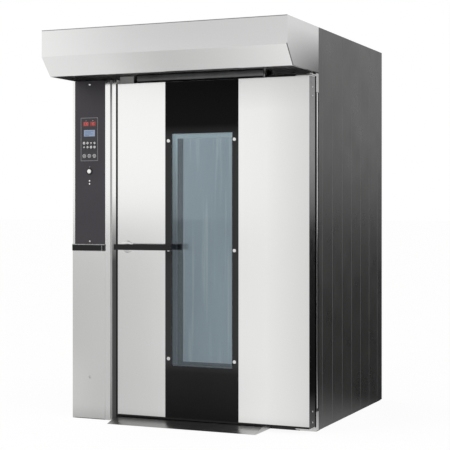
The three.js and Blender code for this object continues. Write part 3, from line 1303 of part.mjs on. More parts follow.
// The cabinet's bracket: an arm with its welded pin, a foot on the frame and a cheek on its side.
function hingeBracket(side) {
  const doorFace = (side > 0 ? DOOR_TOP_Z : DOOR_BOTTOM_Z) + side * (SEAT + HINGE_PLATE);
  const near = doorFace + side * (side > 0 ? 2 : SEAT);
  const far = near + side * (HINGE_PLATE + 2);
  const [z0, z1] = [near, far].sort((a, b) => a - b);
  const back = FRAME_FRONT - SEAT;
  const right = FRAME_RIGHT - SEAT;
  const arm = block(ARM_LEFT - 10, right, HINGE_Y - 26, back, z0, z1);
  const pinEnd = (side > 0 ? DOOR_TOP_Z : DOOR_BOTTOM_Z) - side * (HINGE_BUSH_LENGTH - 2);
  const [p0, p1] = [pinEnd, far + side * 3].sort((a, b) => a - b);
  const pin = drum(HINGE_X, HINGE_Y, HINGE_PIN_RADIUS, p0, p1);
  const headZ = [far - side * 1, far + side * 4].sort((a, b) => a - b);
  const head = drum(HINGE_X, HINGE_Y, HINGE_PIN_RADIUS + 5, ...headZ, 6);
  const footTop = side > 0 ? FRONT_TOP_Z - 1 : z1;
  const footLow = side > 0 ? z0 : 1;
  const foot = block(ARM_LEFT - 10, right, back - 5, back, footLow, footTop);
  const cheekEdge = side > 0 ? FRONT_TOP_Z - 1 : SIDE_FOOT_Z;
  const cheek0 = side > 0 ? cheekEdge - HINGE_CHEEK_HEIGHT : cheekEdge;
  const cheekX = FRAME_RIGHT + SEAT;
  const cheekFront = FRAME_FRONT - 5;
  const cheek = block(cheekX, RIGHT, cheekFront, SIDE_FRONT - SEAT, cheek0, cheek0 + HINGE_CHEEK_HEIGHT);
  const tie = block(right - 20, RIGHT, cheekFront, back, footLow, footTop);
  return join(arm, pin, head, foot, cheek, tie);
}
add("hinge_bracket_top", hingeBracket(1), BRIGHT_STEEL);
add("hinge_bracket_bottom", hingeBracket(-1), BRIGHT_STEEL);

// ---------------------------------------------------------------- handle and latch
const BAR_BACK = DOOR_FRONT - HANDLE_STAND_OFF + HANDLE_THICK;
const ESCUTCHEON_FRONT = DOOR_FRONT - SEAT - ESCUTCHEON_THICK;

function escutcheon() {
  const r = ESCUTCHEON_RADIUS;
  const bore = HANDLE_SHAFT_RADIUS + RUN_CLEARANCE;
  return turnedY(
    [
      [bore, ESCUTCHEON_FRONT],
      [r - 10, ESCUTCHEON_FRONT],
      [r - 4, ESCUTCHEON_FRONT + 2],
      [r, ESCUTCHEON_FRONT + 6],
      [r, DOOR_FRONT - SEAT],
      [bore, DOOR_FRONT - SEAT],
      [bore, ESCUTCHEON_FRONT],
    ],
    HANDLE_X,
    HANDLE_Z,
  );
}
add("handle_escutcheon", escutcheon(), BRIGHT_STEEL);

// The flat lever bar with its sleeve down to the escutcheon.
function handleLever() {
  const half = HANDLE_HEIGHT / 2;
  const bar = runY(
    rectangle(HANDLE_X - HANDLE_TAIL, HANDLE_X + HANDLE_REACH, HANDLE_Z - half, HANDLE_Z + half),
    BAR_BACK - HANDLE_THICK,
    BAR_BACK,
  );
  const sleeve = pinY(HANDLE_X, HANDLE_Z, HANDLE_SLEEVE_RADIUS, BAR_BACK - 1, ESCUTCHEON_FRONT - SEAT);
  const socket = pinY(HANDLE_X, HANDLE_Z, HANDLE_SHAFT_RADIUS + SEAT, BAR_BACK, ESCUTCHEON_FRONT + 9);
  const end = HANDLE_X + HANDLE_REACH;
  const grip = block(end - 5, end, BAR_BACK - 1, BAR_BACK + 14, HANDLE_Z - half, HANDLE_Z + half);
  return join(cut(join(bar, sleeve), socket), grip);
}
add("handle_lever", handleLever(), HANDLE_BLACK);

const CRANK_FRONT = BOLT_Y - BOLT_THICK / 2 - 1 - CRANK_THICK;
const KNOB_FRONT = DOOR_BACK + SEAT;
// The shaft through the door, with the latch's crank and the release knob inside the chamber.
function handleShaft() {
  const front = BAR_BACK + SEAT;
  const shaft = pinY(HANDLE_X, HANDLE_Z, HANDLE_SHAFT_RADIUS, front, KNOB_FRONT + KNOB_LENGTH - 4);
  const arm = HANDLE_SHAFT_RADIUS + 2;
  const crank = runY(
    [
      [HANDLE_X - arm, HANDLE_Z],
      [HANDLE_X - CRANK_PIN_RADIUS - 3, BOLT_Z + CRANK_PIN_RADIUS + 2],
      [HANDLE_X + CRANK_PIN_RADIUS + 3, BOLT_Z + CRANK_PIN_RADIUS + 2],
      [HANDLE_X + arm, HANDLE_Z],
      [HANDLE_X, HANDLE_Z - arm],
    ],
    CRANK_FRONT,
    CRANK_FRONT + CRANK_THICK,
  );
  const pin = pinY(HANDLE_X, BOLT_Z, CRANK_PIN_RADIUS, CRANK_FRONT + 1, BOLT_Y + BOLT_THICK / 2 + 2);
  const r = KNOB_RADIUS;
  const back = KNOB_FRONT + KNOB_LENGTH;
  const knob = turnedY(
    [
      [0, KNOB_FRONT],
      [HANDLE_SHAFT_RADIUS + 5, KNOB_FRONT],
      [HANDLE_SHAFT_RADIUS + 5, KNOB_FRONT + 8],
      [r, KNOB_FRONT + 12],
      [r, back - 3],
      [r - 5, back],
      [0, back],
    ],
    HANDLE_X,
    HANDLE_Z,
  );
  return join(shaft, crank, pin, knob);
}
add("handle_shaft", handleShaft(), BRIGHT_STEEL);

// The bolt's tail is a yoke over the crank's pin, so that turning the shaft draws the bolt in.
function latchBolt() {
  const half = BOLT_HEIGHT / 2;
  const slotHalf = CRANK_PIN_RADIUS + 2.6;
  const tail = HANDLE_X + slotHalf + 7;
  const slotTop = BOLT_Z + CRANK_PIN_RADIUS + 1.5;
  return runY(
    [
      [BOLT_TIP_X, BOLT_Z - half],
      [HANDLE_X - slotHalf, BOLT_Z - half],
      [HANDLE_X - slotHalf, slotTop],
      [HANDLE_X + slotHalf, slotTop],
      [HANDLE_X + slotHalf, BOLT_Z - half],
      [tail, BOLT_Z - half],
      [tail, BOLT_Z + half],
      [BOLT_TIP_X, BOLT_Z + half],
    ],
    BOLT_Y - BOLT_THICK / 2,
    BOLT_Y + BOLT_THICK / 2,
  );
}
add("latch_bolt", latchBolt(), BRIGHT_STEEL);

// ---------------------------------------------------------------- chamber walls
const LINER_TOP_Z = FAN_DECK_Z;
function linerSide(side) {
  const inner = side > 0 ? LINER_RIGHT : LINER_LEFT;
  const [x0, x1] = [inner, inner + side * INNER_SHEET].sort((a, b) => a - b);
  return block(x0, x1, INNER_FRONT, LINER_BACK, BASE_TOP + SEAT, LINER_TOP_Z);
}
add("liner_left", linerSide(-1), CHAMBER_STEEL);
add("liner_right", linerSide(1), CHAMBER_STEEL);
const LINER_X0 = LINER_LEFT - INNER_SHEET;
const LINER_X1 = LINER_RIGHT + INNER_SHEET;
const LINER_Y1 = LINER_BACK + INNER_SHEET + SEAT;
const linerRear = block(LINER_X0, LINER_X1, LINER_BACK + SEAT, LINER_Y1, BASE_TOP + SEAT, LINER_TOP_Z);
add("liner_rear", linerRear, CHAMBER_STEEL);

function linerTop() {
  const holes = [
    circle(...FAN_AXIS, FAN_HUB_RADIUS + 4),
    circle(...TURN_AXIS, HOOK_SHAFT_RADIUS + 2),
    circle(...FLUE_AXIS, FLUE_RADIUS - FLUE_WALL),
  ];
  const z = LINER_TOP_Z + SEAT;
  const sheet = rise(rectangle(LINER_X0, LINER_X1, INNER_FRONT, LINER_Y1), z, z + INNER_SHEET, holes);
  const apron = block(LINER_X0, LINER_X1, INNER_FRONT, INNER_FRONT + INNER_SHEET, z, FRONT_TOP_Z + 40);
  return join(sheet, apron);
}
add("liner_top", linerTop(), CHAMBER_STEEL);

// An air wall of the chamber: rows of louvred slots that blow towards the turning rack.
const SLOT_MARGIN = 80; // plain sheet over and under the slots
function airPanel(side) {
  const face = side > 0 ? CHAMBER_RIGHT : CHAMBER_LEFT;
  const [x0, x1] = [face, face + side * INNER_SHEET].sort((a, b) => a - b);
  const [y0, y1] = [INNER_FRONT, CHAMBER_BACK];
  const [z0, z1] = [FLOOR_Z + SEAT, CHAMBER_TOP_Z - SEAT];
  const slots = [];
  const lips = [];
  const pitchZ = (z1 - z0 - 2 * SLOT_MARGIN) / SLOT_COUNT;
  for (let column = 0; column < SLOT_COLUMNS; column += 1) {
    const middle = y0 + ((y1 - y0) * (column + 0.5)) / SLOT_COLUMNS;
    const [a0, a1] = [middle - SLOT_LENGTH / 2, middle + SLOT_LENGTH / 2];
    for (let row = 0; row < SLOT_COUNT; row += 1) {
      const z = z0 + SLOT_MARGIN + pitchZ * (row + 0.5);
      slots.push(rectangle(a0, a1, z - SLOT_HEIGHT / 2, z + SLOT_HEIGHT / 2));
      const root = z + SLOT_HEIGHT / 2;
      const inward = face - side * LOUVRE_PROUD;
      const sunk = face + side * 0.5;
      const lip = [[sunk, root - 0.5], [inward, z], [inward, z + 2], [sunk, root + 3]];
      lips.push(runY(lip, a0, a1));
    }
  }
  return join(runX(rectangle(y0, y1, z0, z1), x0, x1, slots), ...lips);
}
add("air_panel_left", airPanel(-1), CHAMBER_STEEL);
add("air_panel_right", airPanel(1), CHAMBER_STEEL);

const REAR_SLOT_ROWS = 3;
const REAR_SLOT_FIRST = 70; // over the floor
const REAR_SLOT_PITCH = 46;
function rearAirWall() {
  const t = INNER_SHEET;
  const edge = rectangle(CHAMBER_LEFT - t, CHAMBER_RIGHT + t, FLOOR_Z + SEAT, CHAMBER_TOP_Z - SEAT);
  const slots = [];
  const pitch = (CHAMBER_RIGHT - CHAMBER_LEFT) / REAR_SLOT_COLUMNS;
  for (let column = 0; column < REAR_SLOT_COLUMNS; column += 1) {
    const x = CHAMBER_LEFT + pitch * (column + 0.5);
    for (let row = 0; row < REAR_SLOT_ROWS; row += 1) {
      const z = FLOOR_Z + REAR_SLOT_FIRST + row * REAR_SLOT_PITCH;
      slots.push(rectangle(x - SLOT_LENGTH / 2, x + SLOT_LENGTH / 2, z, z + SLOT_HEIGHT));
    }
  }
  const y = CHAMBER_BACK + SEAT;
  return runY(edge, y, y + t, slots);
}
add("rear_air_wall", rearAirWall(), CHAMBER_STEEL);

// The chamber's ceiling carries the fan's inlet cone and lets the rack drive through.
function airCeiling() {
  const edge = rectangle(
    CHAMBER_LEFT - INNER_SHEET,
    CHAMBER_RIGHT + INNER_SHEET,
    INNER_FRONT,
    CHAMBER_BACK + SEAT + INNER_SHEET,
  );
  const z = CHAMBER_TOP_Z;
  const inletHole = circle(...FAN_AXIS, FAN_INLET_RADIUS, WIDE_ROUND);
  const holes = [inletHole, circle(...TURN_AXIS, HOOK_SHAFT_RADIUS + 3)];
  const sheet = rise(edge, z, z + INNER_SHEET, holes);
  const r = FAN_INLET_RADIUS;
  const t = INNER_SHEET;
  const cone = turned(
    [[r, z], [r + t, z], [r - 8 + t, z + 10], [r - 8, z + 10], [r, z]],
    ...FAN_AXIS,
  );
  const hangers = [-1, 1].map((side) => {
    const x = (side > 0 ? CHAMBER_RIGHT : CHAMBER_LEFT) - 20;
    return block(x, x + 40, FAN_Y - 380, FAN_Y - 377, z + 1, LINER_TOP_Z);
  });
  return join(sheet, cone, ...hangers);
}
add("air_ceiling", airCeiling(), CHAMBER_STEEL);

// ---------------------------------------------------------------- circulation fan
const WHEEL_LOW = CHAMBER_TOP_Z + 12;
const WHEEL_HIGH = WHEEL_LOW + FAN_HEIGHT;
const FAN_SHAFT_RADIUS = 14;
const WOOL_TOP_Z = LINER_TOP_Z + WOOL_TOP;
const MOTOR_BASE_Z = WOOL_TOP_Z + 3;

function circulationFan() {
  const t = FAN_SHEET;
  const hub = turned(
    [
      [0, WHEEL_LOW + 20],
      [FAN_HUB_RADIUS - 12, WHEEL_LOW + 24],
      [FAN_HUB_RADIUS, WHEEL_HIGH - 30],
      [FAN_HUB_RADIUS, WHEEL_HIGH - t],
      [FAN_RADIUS, WHEEL_HIGH - t],
      [FAN_RADIUS, WHEEL_HIGH],
      [FAN_SHAFT_RADIUS, WHEEL_HIGH],
      [FAN_SHAFT_RADIUS, MOTOR_BASE_Z + 20],
      [0, MOTOR_BASE_Z + 20],
    ],
    ...FAN_AXIS,
  );
  const [inlet, low] = [FAN_INLET_RADIUS, WHEEL_LOW];
  const shroud = turned(
    [[inlet, low], [FAN_RADIUS, low], [FAN_RADIUS, low + t], [inlet, low + t], [inlet, low]],
    ...FAN_AXIS,
  );
  const [root, tip] = [inlet - FAN_BLADE_INSET, FAN_RADIUS - t];
  const blades = leaningBlades(FAN_AXIS, FAN_BLADES, root, tip, FAN_BLADE_LEAN, t, low + 1, WHEEL_HIGH - 1);
  return join(hub, shroud, ...blades);
}
add("circulation_fan", circulationFan(), CHAMBER_STEEL);

// Four legs that carry a motor over the chamber's top.
function motorLegs(axis, half, top) {
  const foot = LINER_TOP_Z + INNER_SHEET + 2 * SEAT;
  const corners = [[-1, -1], [1, -1], [1, 1], [-1, 1]];
  return corners.map(([i, j]) => {
    const [x, y] = [axis[0] + i * half, axis[1] + j * half];
    return block(x - 8, x + 8, y - 8, y + 8, foot, top);
  });
}

function fanMotor() {
  const ribs = 12;
  const star = Array.from({ length: ribs * 4 }, (_, i) => {
    const angle = (2 * Math.PI * (i + 0.5)) / (ribs * 4);
    const radius = i % 4 < 2 ? FAN_MOTOR_RADIUS : FAN_MOTOR_RADIUS - 8;
    return [FAN_AXIS[0] + radius * Math.cos(angle), FAN_AXIS[1] + radius * Math.sin(angle)];
  });
  const half = FAN_MOTOR_RADIUS + 10;
  const [x, y] = FAN_AXIS;
  const z = MOTOR_BASE_Z;
  const flange = block(x - half, x + half, y - half, y + half, z, z + 8);
  const ribbed = rise(star, z + 7, z + FAN_MOTOR_HEIGHT);
  const cowl = turned(
    [
      [0, z + FAN_MOTOR_HEIGHT - 1],
      [FAN_MOTOR_RADIUS + 2, z + FAN_MOTOR_HEIGHT - 1],
      [FAN_MOTOR_RADIUS + 2, z + FAN_MOTOR_HEIGHT + 22],
      [FAN_MOTOR_RADIUS - 14, z + FAN_MOTOR_HEIGHT + 32],
      [0, z + FAN_MOTOR_HEIGHT + 32],
    ],
    ...FAN_AXIS,
  );
  const terminal = block(x + FAN_MOTOR_RADIUS - 12, x + half, y - 34, y + 34, z + 30, z + 90);
  const bore = drum(x, y, FAN_SHAFT_RADIUS + RUN_CLEARANCE, z - 1, z + 20 + 2);
  return cut(join(flange, ribbed, cowl, terminal, ...motorLegs(FAN_AXIS, half - 12, z + 4)), bore);
}
add("fan_motor", fanMotor(), MOTOR_PAINT);

// ---------------------------------------------------------------- rack drive
const GEARBOX_LOW = MOTOR_BASE_Z;
const DRIVE_RIBS = [0.25, 0.45, 0.65]; // cooling ribs, as shares of the motor's length
function rackGearmotor() {
  const [x, y] = TURN_AXIS;
  const half = GEARBOX_SIZE / 2;
  const body = block(x - half, x + half, y - half, y + half, GEARBOX_LOW, GEARBOX_LOW + GEARBOX_HEIGHT);
  const boss = drum(x, y, half - 14, GEARBOX_LOW + GEARBOX_HEIGHT - 1, GEARBOX_LOW + GEARBOX_HEIGHT + 12);
  const axisZ = GEARBOX_LOW + GEARBOX_HEIGHT / 2 + 26;
  const lying = (radius, long, middle) => {
    const cylinder = new THREE.CylinderGeometry(radius, radius, long, ROUND);
    return cylinder.rotateZ(Math.PI / 2).translate(middle, y, axisZ);
  };
  const length = DRIVE_MOTOR_LENGTH;
  const motor = lying(DRIVE_MOTOR_RADIUS, length, x + half + length / 2 - 2);
  const ribs = DRIVE_RIBS.map((share) => lying(DRIVE_MOTOR_RADIUS + 4, 4, x + half + length * share));
  const shaftBore = HOOK_SHAFT_RADIUS + RUN_CLEARANCE;
  const bore = drum(x, y, shaftBore, GEARBOX_LOW - 1, GEARBOX_LOW + GEARBOX_HEIGHT - 10);
  const legs = motorLegs(TURN_AXIS, half - 8, GEARBOX_LOW + 4);
  return cut(join(body, boss, motor, ...ribs, ...legs), bore);
}
add("rack_gearmotor", rackGearmotor(), MOTOR_PAINT);

// The shaft from the gearbox with the forked hook that takes the rack's top bar.
function rackHook() {
  const [x, y] = TURN_AXIS;
  const top = CHAMBER_TOP_Z - 22;
  const low = CHAMBER_TOP_Z - HOOK_DROP;
  const r = HOOK_REACH;
  const half = [
    [0, top],
    [r, top],
    [r, low],
    [r - 34, low],
    [r - 34, low + 22],
    [r - 22, low + 22],
    [r - 16, low + 30],
    [r - 16, top - 18],
    [r - 26, top - 26],
    [0, top - 26],
  ];
  const fork = half.map(([a, z]) => [x + a, z]);
  const mirror = half.map(([a, z]) => [x - a, z]);
  const right = runY(fork, y - 10, y + 10);
  const left = runY(mirror, y - 10, y + 10);
  const shaft = drum(x, y, HOOK_SHAFT_RADIUS, top - 4, GEARBOX_LOW + GEARBOX_HEIGHT - 11);
  const collar = drum(x, y, HOOK_SHAFT_RADIUS + 12, top - 1, CHAMBER_TOP_Z - SEAT);
  return join(right, left, shaft, collar);
}
add("rack_hook", rackHook(), BRIGHT_STEEL);

// ---------------------------------------------------------------- heating and steam
const DUCT_MIDDLE = (CHAMBER_BACK + INNER_SHEET + LINER_BACK) / 2;
function heaterBank() {
  const topZ = CHAMBER_TOP_Z - 60;
  const plateHalf = (HEATER_LOOPS * HEATER_PITCH) / 2;
  const x0 = TURN_X - plateHalf;
  const bend = HEATER_PITCH * 0.26;
  const low = topZ - HEATER_HEIGHT;
  const ring = circle(0, 0, HEATER_TUBE, 6).map(([a, b]) => new THREE.Vector2(a, b));
  const loops = Array.from({ length: HEATER_LOOPS }, (_, i) => {
    const x = x0 + HEATER_PITCH * (i + 0.5);
    const at = (dx, z) => new THREE.Vector3(x + dx, DUCT_MIDDLE, z);
    const drop = low - bend * 1.33;
    const corners = [at(-bend, low), at(-bend, drop), at(bend, drop), at(bend, low)];
    const turn = new THREE.CubicBezierCurve3(...corners);
    const bow = new THREE.ExtrudeGeometry(new THREE.Shape(ring), { steps: 6, extrudePath: turn });
    const legs = [-bend, bend].map((dx) => drum(x + dx, DUCT_MIDDLE, HEATER_TUBE, low - 1, topZ - 2, 6));
    return join(bow, ...legs);
  });
  const x1 = x0 + 2 * plateHalf;
  const plate = block(x0, x1, CHAMBER_BACK + INNER_SHEET + 2 * SEAT, LINER_BACK, topZ - 6, topZ);
  const box = block(x0, x1, DUCT_MIDDLE - 24, DUCT_MIDDLE + 24, topZ - 2, topZ + 34);
  return join(plate, box, ...loops);
}
add("heater_bank", heaterBank(), HEATER_TUBE_STEEL);

// Stacked steel troughs that water trickles over to make steam.
function steamCascade() {
  const front = CHAMBER_BACK + INNER_SHEET + 2 * SEAT;
  const half = CASCADE_WIDTH / 2;
  const [low, high] = [FLOOR_Z + SEAT, FLOOR_Z + 60 + CASCADE_BARS * CASCADE_PITCH];
  const cheeks = [-1, 1].map((side) => {
    const x = TURN_X + side * half;
    return block(x - 3, x + 3, front, LINER_BACK, low, high);
  });
  const trough = [[-26, 26], [-26, 0], [26, 0], [26, 26], [22, 26], [22, 4], [-22, 4], [-22, 26]];
  const bars = Array.from({ length: CASCADE_BARS }, (_, i) => {
    const z = low + 40 + i * CASCADE_PITCH;
    const shift = i % 2 ? 8 : -8;
    const section = trough.map(([a, b]) => [DUCT_MIDDLE + a + shift, z + b]);
    return runX(section, TURN_X - half, TURN_X + half);
  });
  return join(...cheeks, ...bars);
}
add("steam_cascade", steamCascade(), CHAMBER_STEEL);

// ---------------------------------------------------------------- steam flue and damper
const FLUE_LOW = LINER_TOP_Z + INNER_SHEET + 2 * SEAT;
const FLUE_TOP = OVEN_HEIGHT - 8;
const DAMPER_Z = ROOF_Z - 50;

// The flue with the damper's actuator on its bracket.
function fluePipe() {
  const [r, w] = [FLUE_RADIUS, FLUE_WALL];
  const pipe = turned(
    [
      [r - w, FLUE_LOW],
      [r + 18, FLUE_LOW],
      [r + 18, FLUE_LOW + w],
      [r, FLUE_LOW + w],
      [r, FLUE_TOP],
      [r - w, FLUE_TOP],
      [r - w, FLUE_LOW],
    ],
    ...FLUE_AXIS,
  );
  const actuatorX = FLUE_X + r + 8;
  const actuator = block(actuatorX, actuatorX + 44, FAN_Y - 26, FAN_Y + 26, DAMPER_Z - 22, DAMPER_Z + 22);
  const arms = [-18, 12].map((up) =>
    block(FLUE_X + r - 1, actuatorX + 1, FAN_Y - 10, FAN_Y + 10, DAMPER_Z + up, DAMPER_Z + up + 6),
  );
  const bore = DAMPER_SHAFT_RADIUS + RUN_CLEARANCE;
  const hole = new THREE.CylinderGeometry(bore, bore, 4 * r, ROUND);
  hole.rotateZ(Math.PI / 2).translate(FLUE_X, FAN_Y, DAMPER_Z);
  return cut(join(pipe, actuator, ...arms), hole);
}
add("flue_pipe", fluePipe(), BRIGHT_STEEL);

function damperFlap() {
  const discRadius = FLUE_RADIUS - FLUE_WALL - 1;
  const disc = drum(...FLUE_AXIS, discRadius, DAMPER_Z - DAMPER_THICK / 2, DAMPER_Z + DAMPER_THICK / 2);
  const [left, right] = [FLUE_RADIUS + 4, FLUE_RADIUS + 30];
  const shaft = new THREE.CylinderGeometry(DAMPER_SHAFT_RADIUS, DAMPER_SHAFT_RADIUS, left + right, ROUND);
  shaft.rotateZ(Math.PI / 2).translate(FLUE_X + (right - left) / 2, FAN_Y, DAMPER_Z);
  return join(disc, shaft);
}
add("damper_flap", damperFlap(), BRIGHT_STEEL);

// ---------------------------------------------------------------- insulation round the chamber
function insulation() {
  const low = BASE_TOP + SEAT;
  const outer = block(SKIN_LEFT, SKIN_RIGHT, INNER_FRONT, SKIN_BACK, low, WOOL_TOP_Z);
  const inner = block(
    LINER_X0 - SEAT,
    LINER_X1 + SEAT,
    INNER_FRONT - 1,
    LINER_Y1 + SEAT,
    low - 1,
    LINER_TOP_Z + 2 * SEAT + INNER_SHEET,
  );
  const fanHalf = FAN_MOTOR_RADIUS + 14;
  const gearHalf = GEARBOX_SIZE / 2 + 8;
  const [under, over] = [LINER_TOP_Z - 9, WOOL_TOP_Z + 9];
  const well = ([x, y], half) => block(x - half, x + half, y - half, y + half, under, over);
  const flueWell = drum(...FLUE_AXIS, FLUE_RADIUS + 20, under, over);
  const apronBack = INNER_FRONT + INNER_SHEET + SEAT;
  const apronGap = block(LINER_X0 - SEAT, LINER_X1 + SEAT, INNER_FRONT - 1, apronBack, low, over);
  return cut(outer, inner, well(FAN_AXIS, fanHalf), well(TURN_AXIS, gearHalf), flueWell, apronGap);
}
add("insulation", insulation(), WOOL);

export default oven;
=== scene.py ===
# %% [markdown]
# # A rotating rack oven, finished in Blender
# The construction comes from the CAD frame: every sheet, hinge and shaft is already at its real size.
# Here the oven gets its finishes, its small fittings, a plain studio and a camera.
# All lengths are metres, in the same frame as the CAD model: +X to the right, -Y out of the door, +Z up.

# %% Load the frame
import json
import math

import bmesh
import bpy
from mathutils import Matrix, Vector

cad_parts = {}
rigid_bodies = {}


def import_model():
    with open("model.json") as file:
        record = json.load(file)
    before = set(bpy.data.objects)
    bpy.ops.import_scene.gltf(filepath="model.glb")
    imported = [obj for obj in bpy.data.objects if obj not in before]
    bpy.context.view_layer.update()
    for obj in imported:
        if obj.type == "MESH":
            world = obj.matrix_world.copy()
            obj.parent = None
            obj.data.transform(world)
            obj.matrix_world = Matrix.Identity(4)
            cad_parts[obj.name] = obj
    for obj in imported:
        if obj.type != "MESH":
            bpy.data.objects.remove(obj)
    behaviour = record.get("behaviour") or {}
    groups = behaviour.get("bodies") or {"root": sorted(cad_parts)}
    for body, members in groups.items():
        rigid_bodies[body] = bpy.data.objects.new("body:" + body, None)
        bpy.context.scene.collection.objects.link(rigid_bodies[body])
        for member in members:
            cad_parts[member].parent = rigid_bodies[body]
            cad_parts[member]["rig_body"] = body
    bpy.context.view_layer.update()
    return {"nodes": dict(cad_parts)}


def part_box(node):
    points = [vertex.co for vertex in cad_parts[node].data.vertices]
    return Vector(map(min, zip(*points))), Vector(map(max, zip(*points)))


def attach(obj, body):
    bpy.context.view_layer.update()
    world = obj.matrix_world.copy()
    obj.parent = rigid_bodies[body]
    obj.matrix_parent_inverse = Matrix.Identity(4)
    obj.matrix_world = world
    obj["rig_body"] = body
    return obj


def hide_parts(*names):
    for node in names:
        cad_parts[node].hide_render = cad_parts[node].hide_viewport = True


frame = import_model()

NODES = frame["nodes"]
MM = 0.001

# %% [markdown]
# ## Colours and nodes
# A colour is written the way a paint shop or a screen gives it, as an sRGB hex value. Shaders work in
# linear light, so one function turns the first into the second. A second small function adds a node,
# sets its values and links its inputs: it keeps every material below short enough to read.

# %% Colour and node helpers
def linear(hex_colour):
    """The linear RGBA of an sRGB hex colour such as 'C8C8C6'."""
    parts = [int(hex_colour[i : i + 2], 16) / 255 for i in (0, 2, 4)]
    return (*[c / 12.92 if c <= 0.04045 else ((c + 0.055) / 1.055) ** 2.4 for c in parts], 1.0)


def grey(level):
    return (level, level, level, 1.0)


def add(tree, kind, inputs=None, **settings):
    """A node of this kind. A value goes on its socket, and another node's output is linked to it."""
    made = tree.nodes.new("ShaderNode" + kind)
    for name, value in settings.items():
        setattr(made, name, value)
    for name, value in (inputs or {}).items():
        if isinstance(value, bpy.types.NodeSocket):
            tree.links.new(value, made.inputs[name])
        else:
            made.inputs[name].default_value = value
    return made


def new_material(name):
    """An empty node material and its output node."""
    made = bpy.data.materials.new(name)
    made.use_nodes = True
    made.node_tree.nodes.clear()
    return made, made.node_tree, add(made.node_tree, "OutputMaterial")


def pattern(tree, kind, size_mm, stretch=(1, 1, 1), **inputs):
    """A texture on the piece's own coordinates whose features are about size_mm wide."""
    place = add(tree, "TexCoord").outputs["Object"]
    scale = tuple(1 / (size_mm * MM * s) for s in stretch)
    mapped = add(tree, "Mapping", {"Vector": place, "Scale": scale})
    return add(tree, kind, {"Vector": mapped.outputs["Vector"], "Scale": 1.0, **inputs})


def between(tree, factor, *stops):
    """A colour ramp through its stops, each given as (place, colour)."""
    ramp = add(tree, "ValToRGB", {"Fac": factor})
    elements = ramp.color_ramp.elements
    while len(elements) < len(stops):
        elements.new(0.5)
    for element, (place, colour) in zip(elements, stops):
        element.position = place
        element.color = colour
    return ramp.outputs["Color"]


def span(tree, factor, low, high, start=0.3, end=0.7):
    """Maps a texture's middle range onto low to high."""
    inputs = {"Value": factor, "From Min": start, "From Max": end, "To Min": low, "To Max": high}
    return add(tree, "MapRange", inputs).outputs["Result"]


def two_tone(tree, factor, dark, light, start=0.3, end=0.7):
    """A blend of two sRGB colours over a texture's middle range."""
    return between(tree, factor, (start, linear(dark)), (end, linear(light)))


def mix(tree, share, first, second):
    """The first colour with this share of the second over it."""
    return add(tree, "MixRGB", {"Fac": share, "Color1": first, "Color2": second}).outputs[0]


def calc(tree, operation, first, second):
    """One step of arithmetic."""
    return add(tree, "Math", {0: first, 1: second}, operation=operation).outputs[0]


def product(tree, factors):
    """All the factors multiplied."""
    result = factors[0]
    for factor in factors[1:]:
        result = calc(tree, "MULTIPLY", result, factor)
    return result


def own_place(tree):
    """The X, Y and Z of a piece's own coordinates."""
    return add(tree, "SeparateXYZ", {"Vector": add(tree, "TexCoord").outputs["Object"]}).outputs


def face_turn(tree):
    """The X, Y and Z of the direction that a face looks in."""
    return add(tree, "SeparateXYZ", {"Vector": add(tree, "NewGeometry").outputs["Normal"]}).outputs


def principled(tree, out, inputs):
    """Makes one Principled shader the whole surface."""
    tree.links.new(add(tree, "BsdfPrincipled", inputs).outputs[0], out.inputs["Surface"])


print("helpers ready")

# %% [markdown]
# ## Painted light and shade within a finish
# These rows paint light and shade into a finish's colour: stretches paler or darker where the steel
# would mirror a brighter or darker room, painted shade low down and under the hood, and dark lines of
# painted shade along bends. A row of data says what a shade is and where it lies, and one function lays
# all the rows over a finish. They are fixed to the piece's own coordinates, so they look the same from
# every side.

# %% Painted light and shade
# A stretch is an axis, its two ends in metres and the shade's share at each end. A face is given the
# same way, by the direction that it looks in.
FACES = {
    "any": [],
    "front": [("X", 0.85, 0.95, 1.0, 0.0)],
    "end": [("X", 0.85, 0.95, 0.0, 1.0)],
    "slope": [("Z", -0.3, -0.1, 1.0, 0.0)],
}
# The hood's rows are painted reflection and painted shade.
HOOD_PAINTED_LIGHT = [
    ("FBFBFA", "front", ("X", -0.76, -0.2, 0.45, 0.0)),  # painted reflection, paler to the left
    ("FDFDFC", "slope", ("X", -0.5, -0.1, 0.0, 0.85)),  # painted reflection: the slope below is paler to the right
    ("6A6A6A", "end", ("Z", 2.04, 2.26, 1.0, 0.0), ("Y", -0.895, -0.385, 0.15, 1.0)),  # painted shade on the end, darker at the foot and towards the back
    ("5A5A5A", "front", ("Z", 2.2955, 2.2965, 0.0, 0.85)),  # painted shade: a dark line at the top bend
    ("4A4A4A", "front", ("X", 0.754, 0.755, 0.0, 1.0), ("Z", 2.148, 2.15, 0.9, 0.0)),  # painted shade: a dark line at the slope's end
]
# The ramp's rows are painted shade on the left and painted light on the right.
RAMP_PAINTED_LIGHT = [
    ("8F8F8E", "any", ("X", -0.46, 0.0, 0.7, 0.0)),  # painted shade, darker towards the left
    ("E6E6E5", "any", ("X", 0.1, 0.46, 0.0, 0.8)),  # painted light, paler on the right
]
# The right skin's rows are painted shade.
SKIN_PAINTED_SHADE = [
    ("D0D0CF", "any", ("Z", 1.82, 2.0, 0.0, 0.5)),  # painted shade along the top, under the hood
    ("D0D0CF", "any", ("X", 0.5, 0.75, 0.0, 0.5)),  # and painted shade at the hinge edge
]
POST_PAINTED_REFLECTION = [("5E5E5E", "any", ("Z", 0.95, 1.35, 1.0, 0.0))]  # painted dark reflection, darker below the handle
TRAY_PAINTED_SHADE = [("1C1C1C", "any", ("Z", 0.35, 1.5, 1.0, 0.0))]  # painted shade, darker towards the foot
SPACER_PAINTED_SHADE = [("62646D", "any", ("Z", 1.05, 1.6, 1.0, 0.0))]  # painted shade, darker below


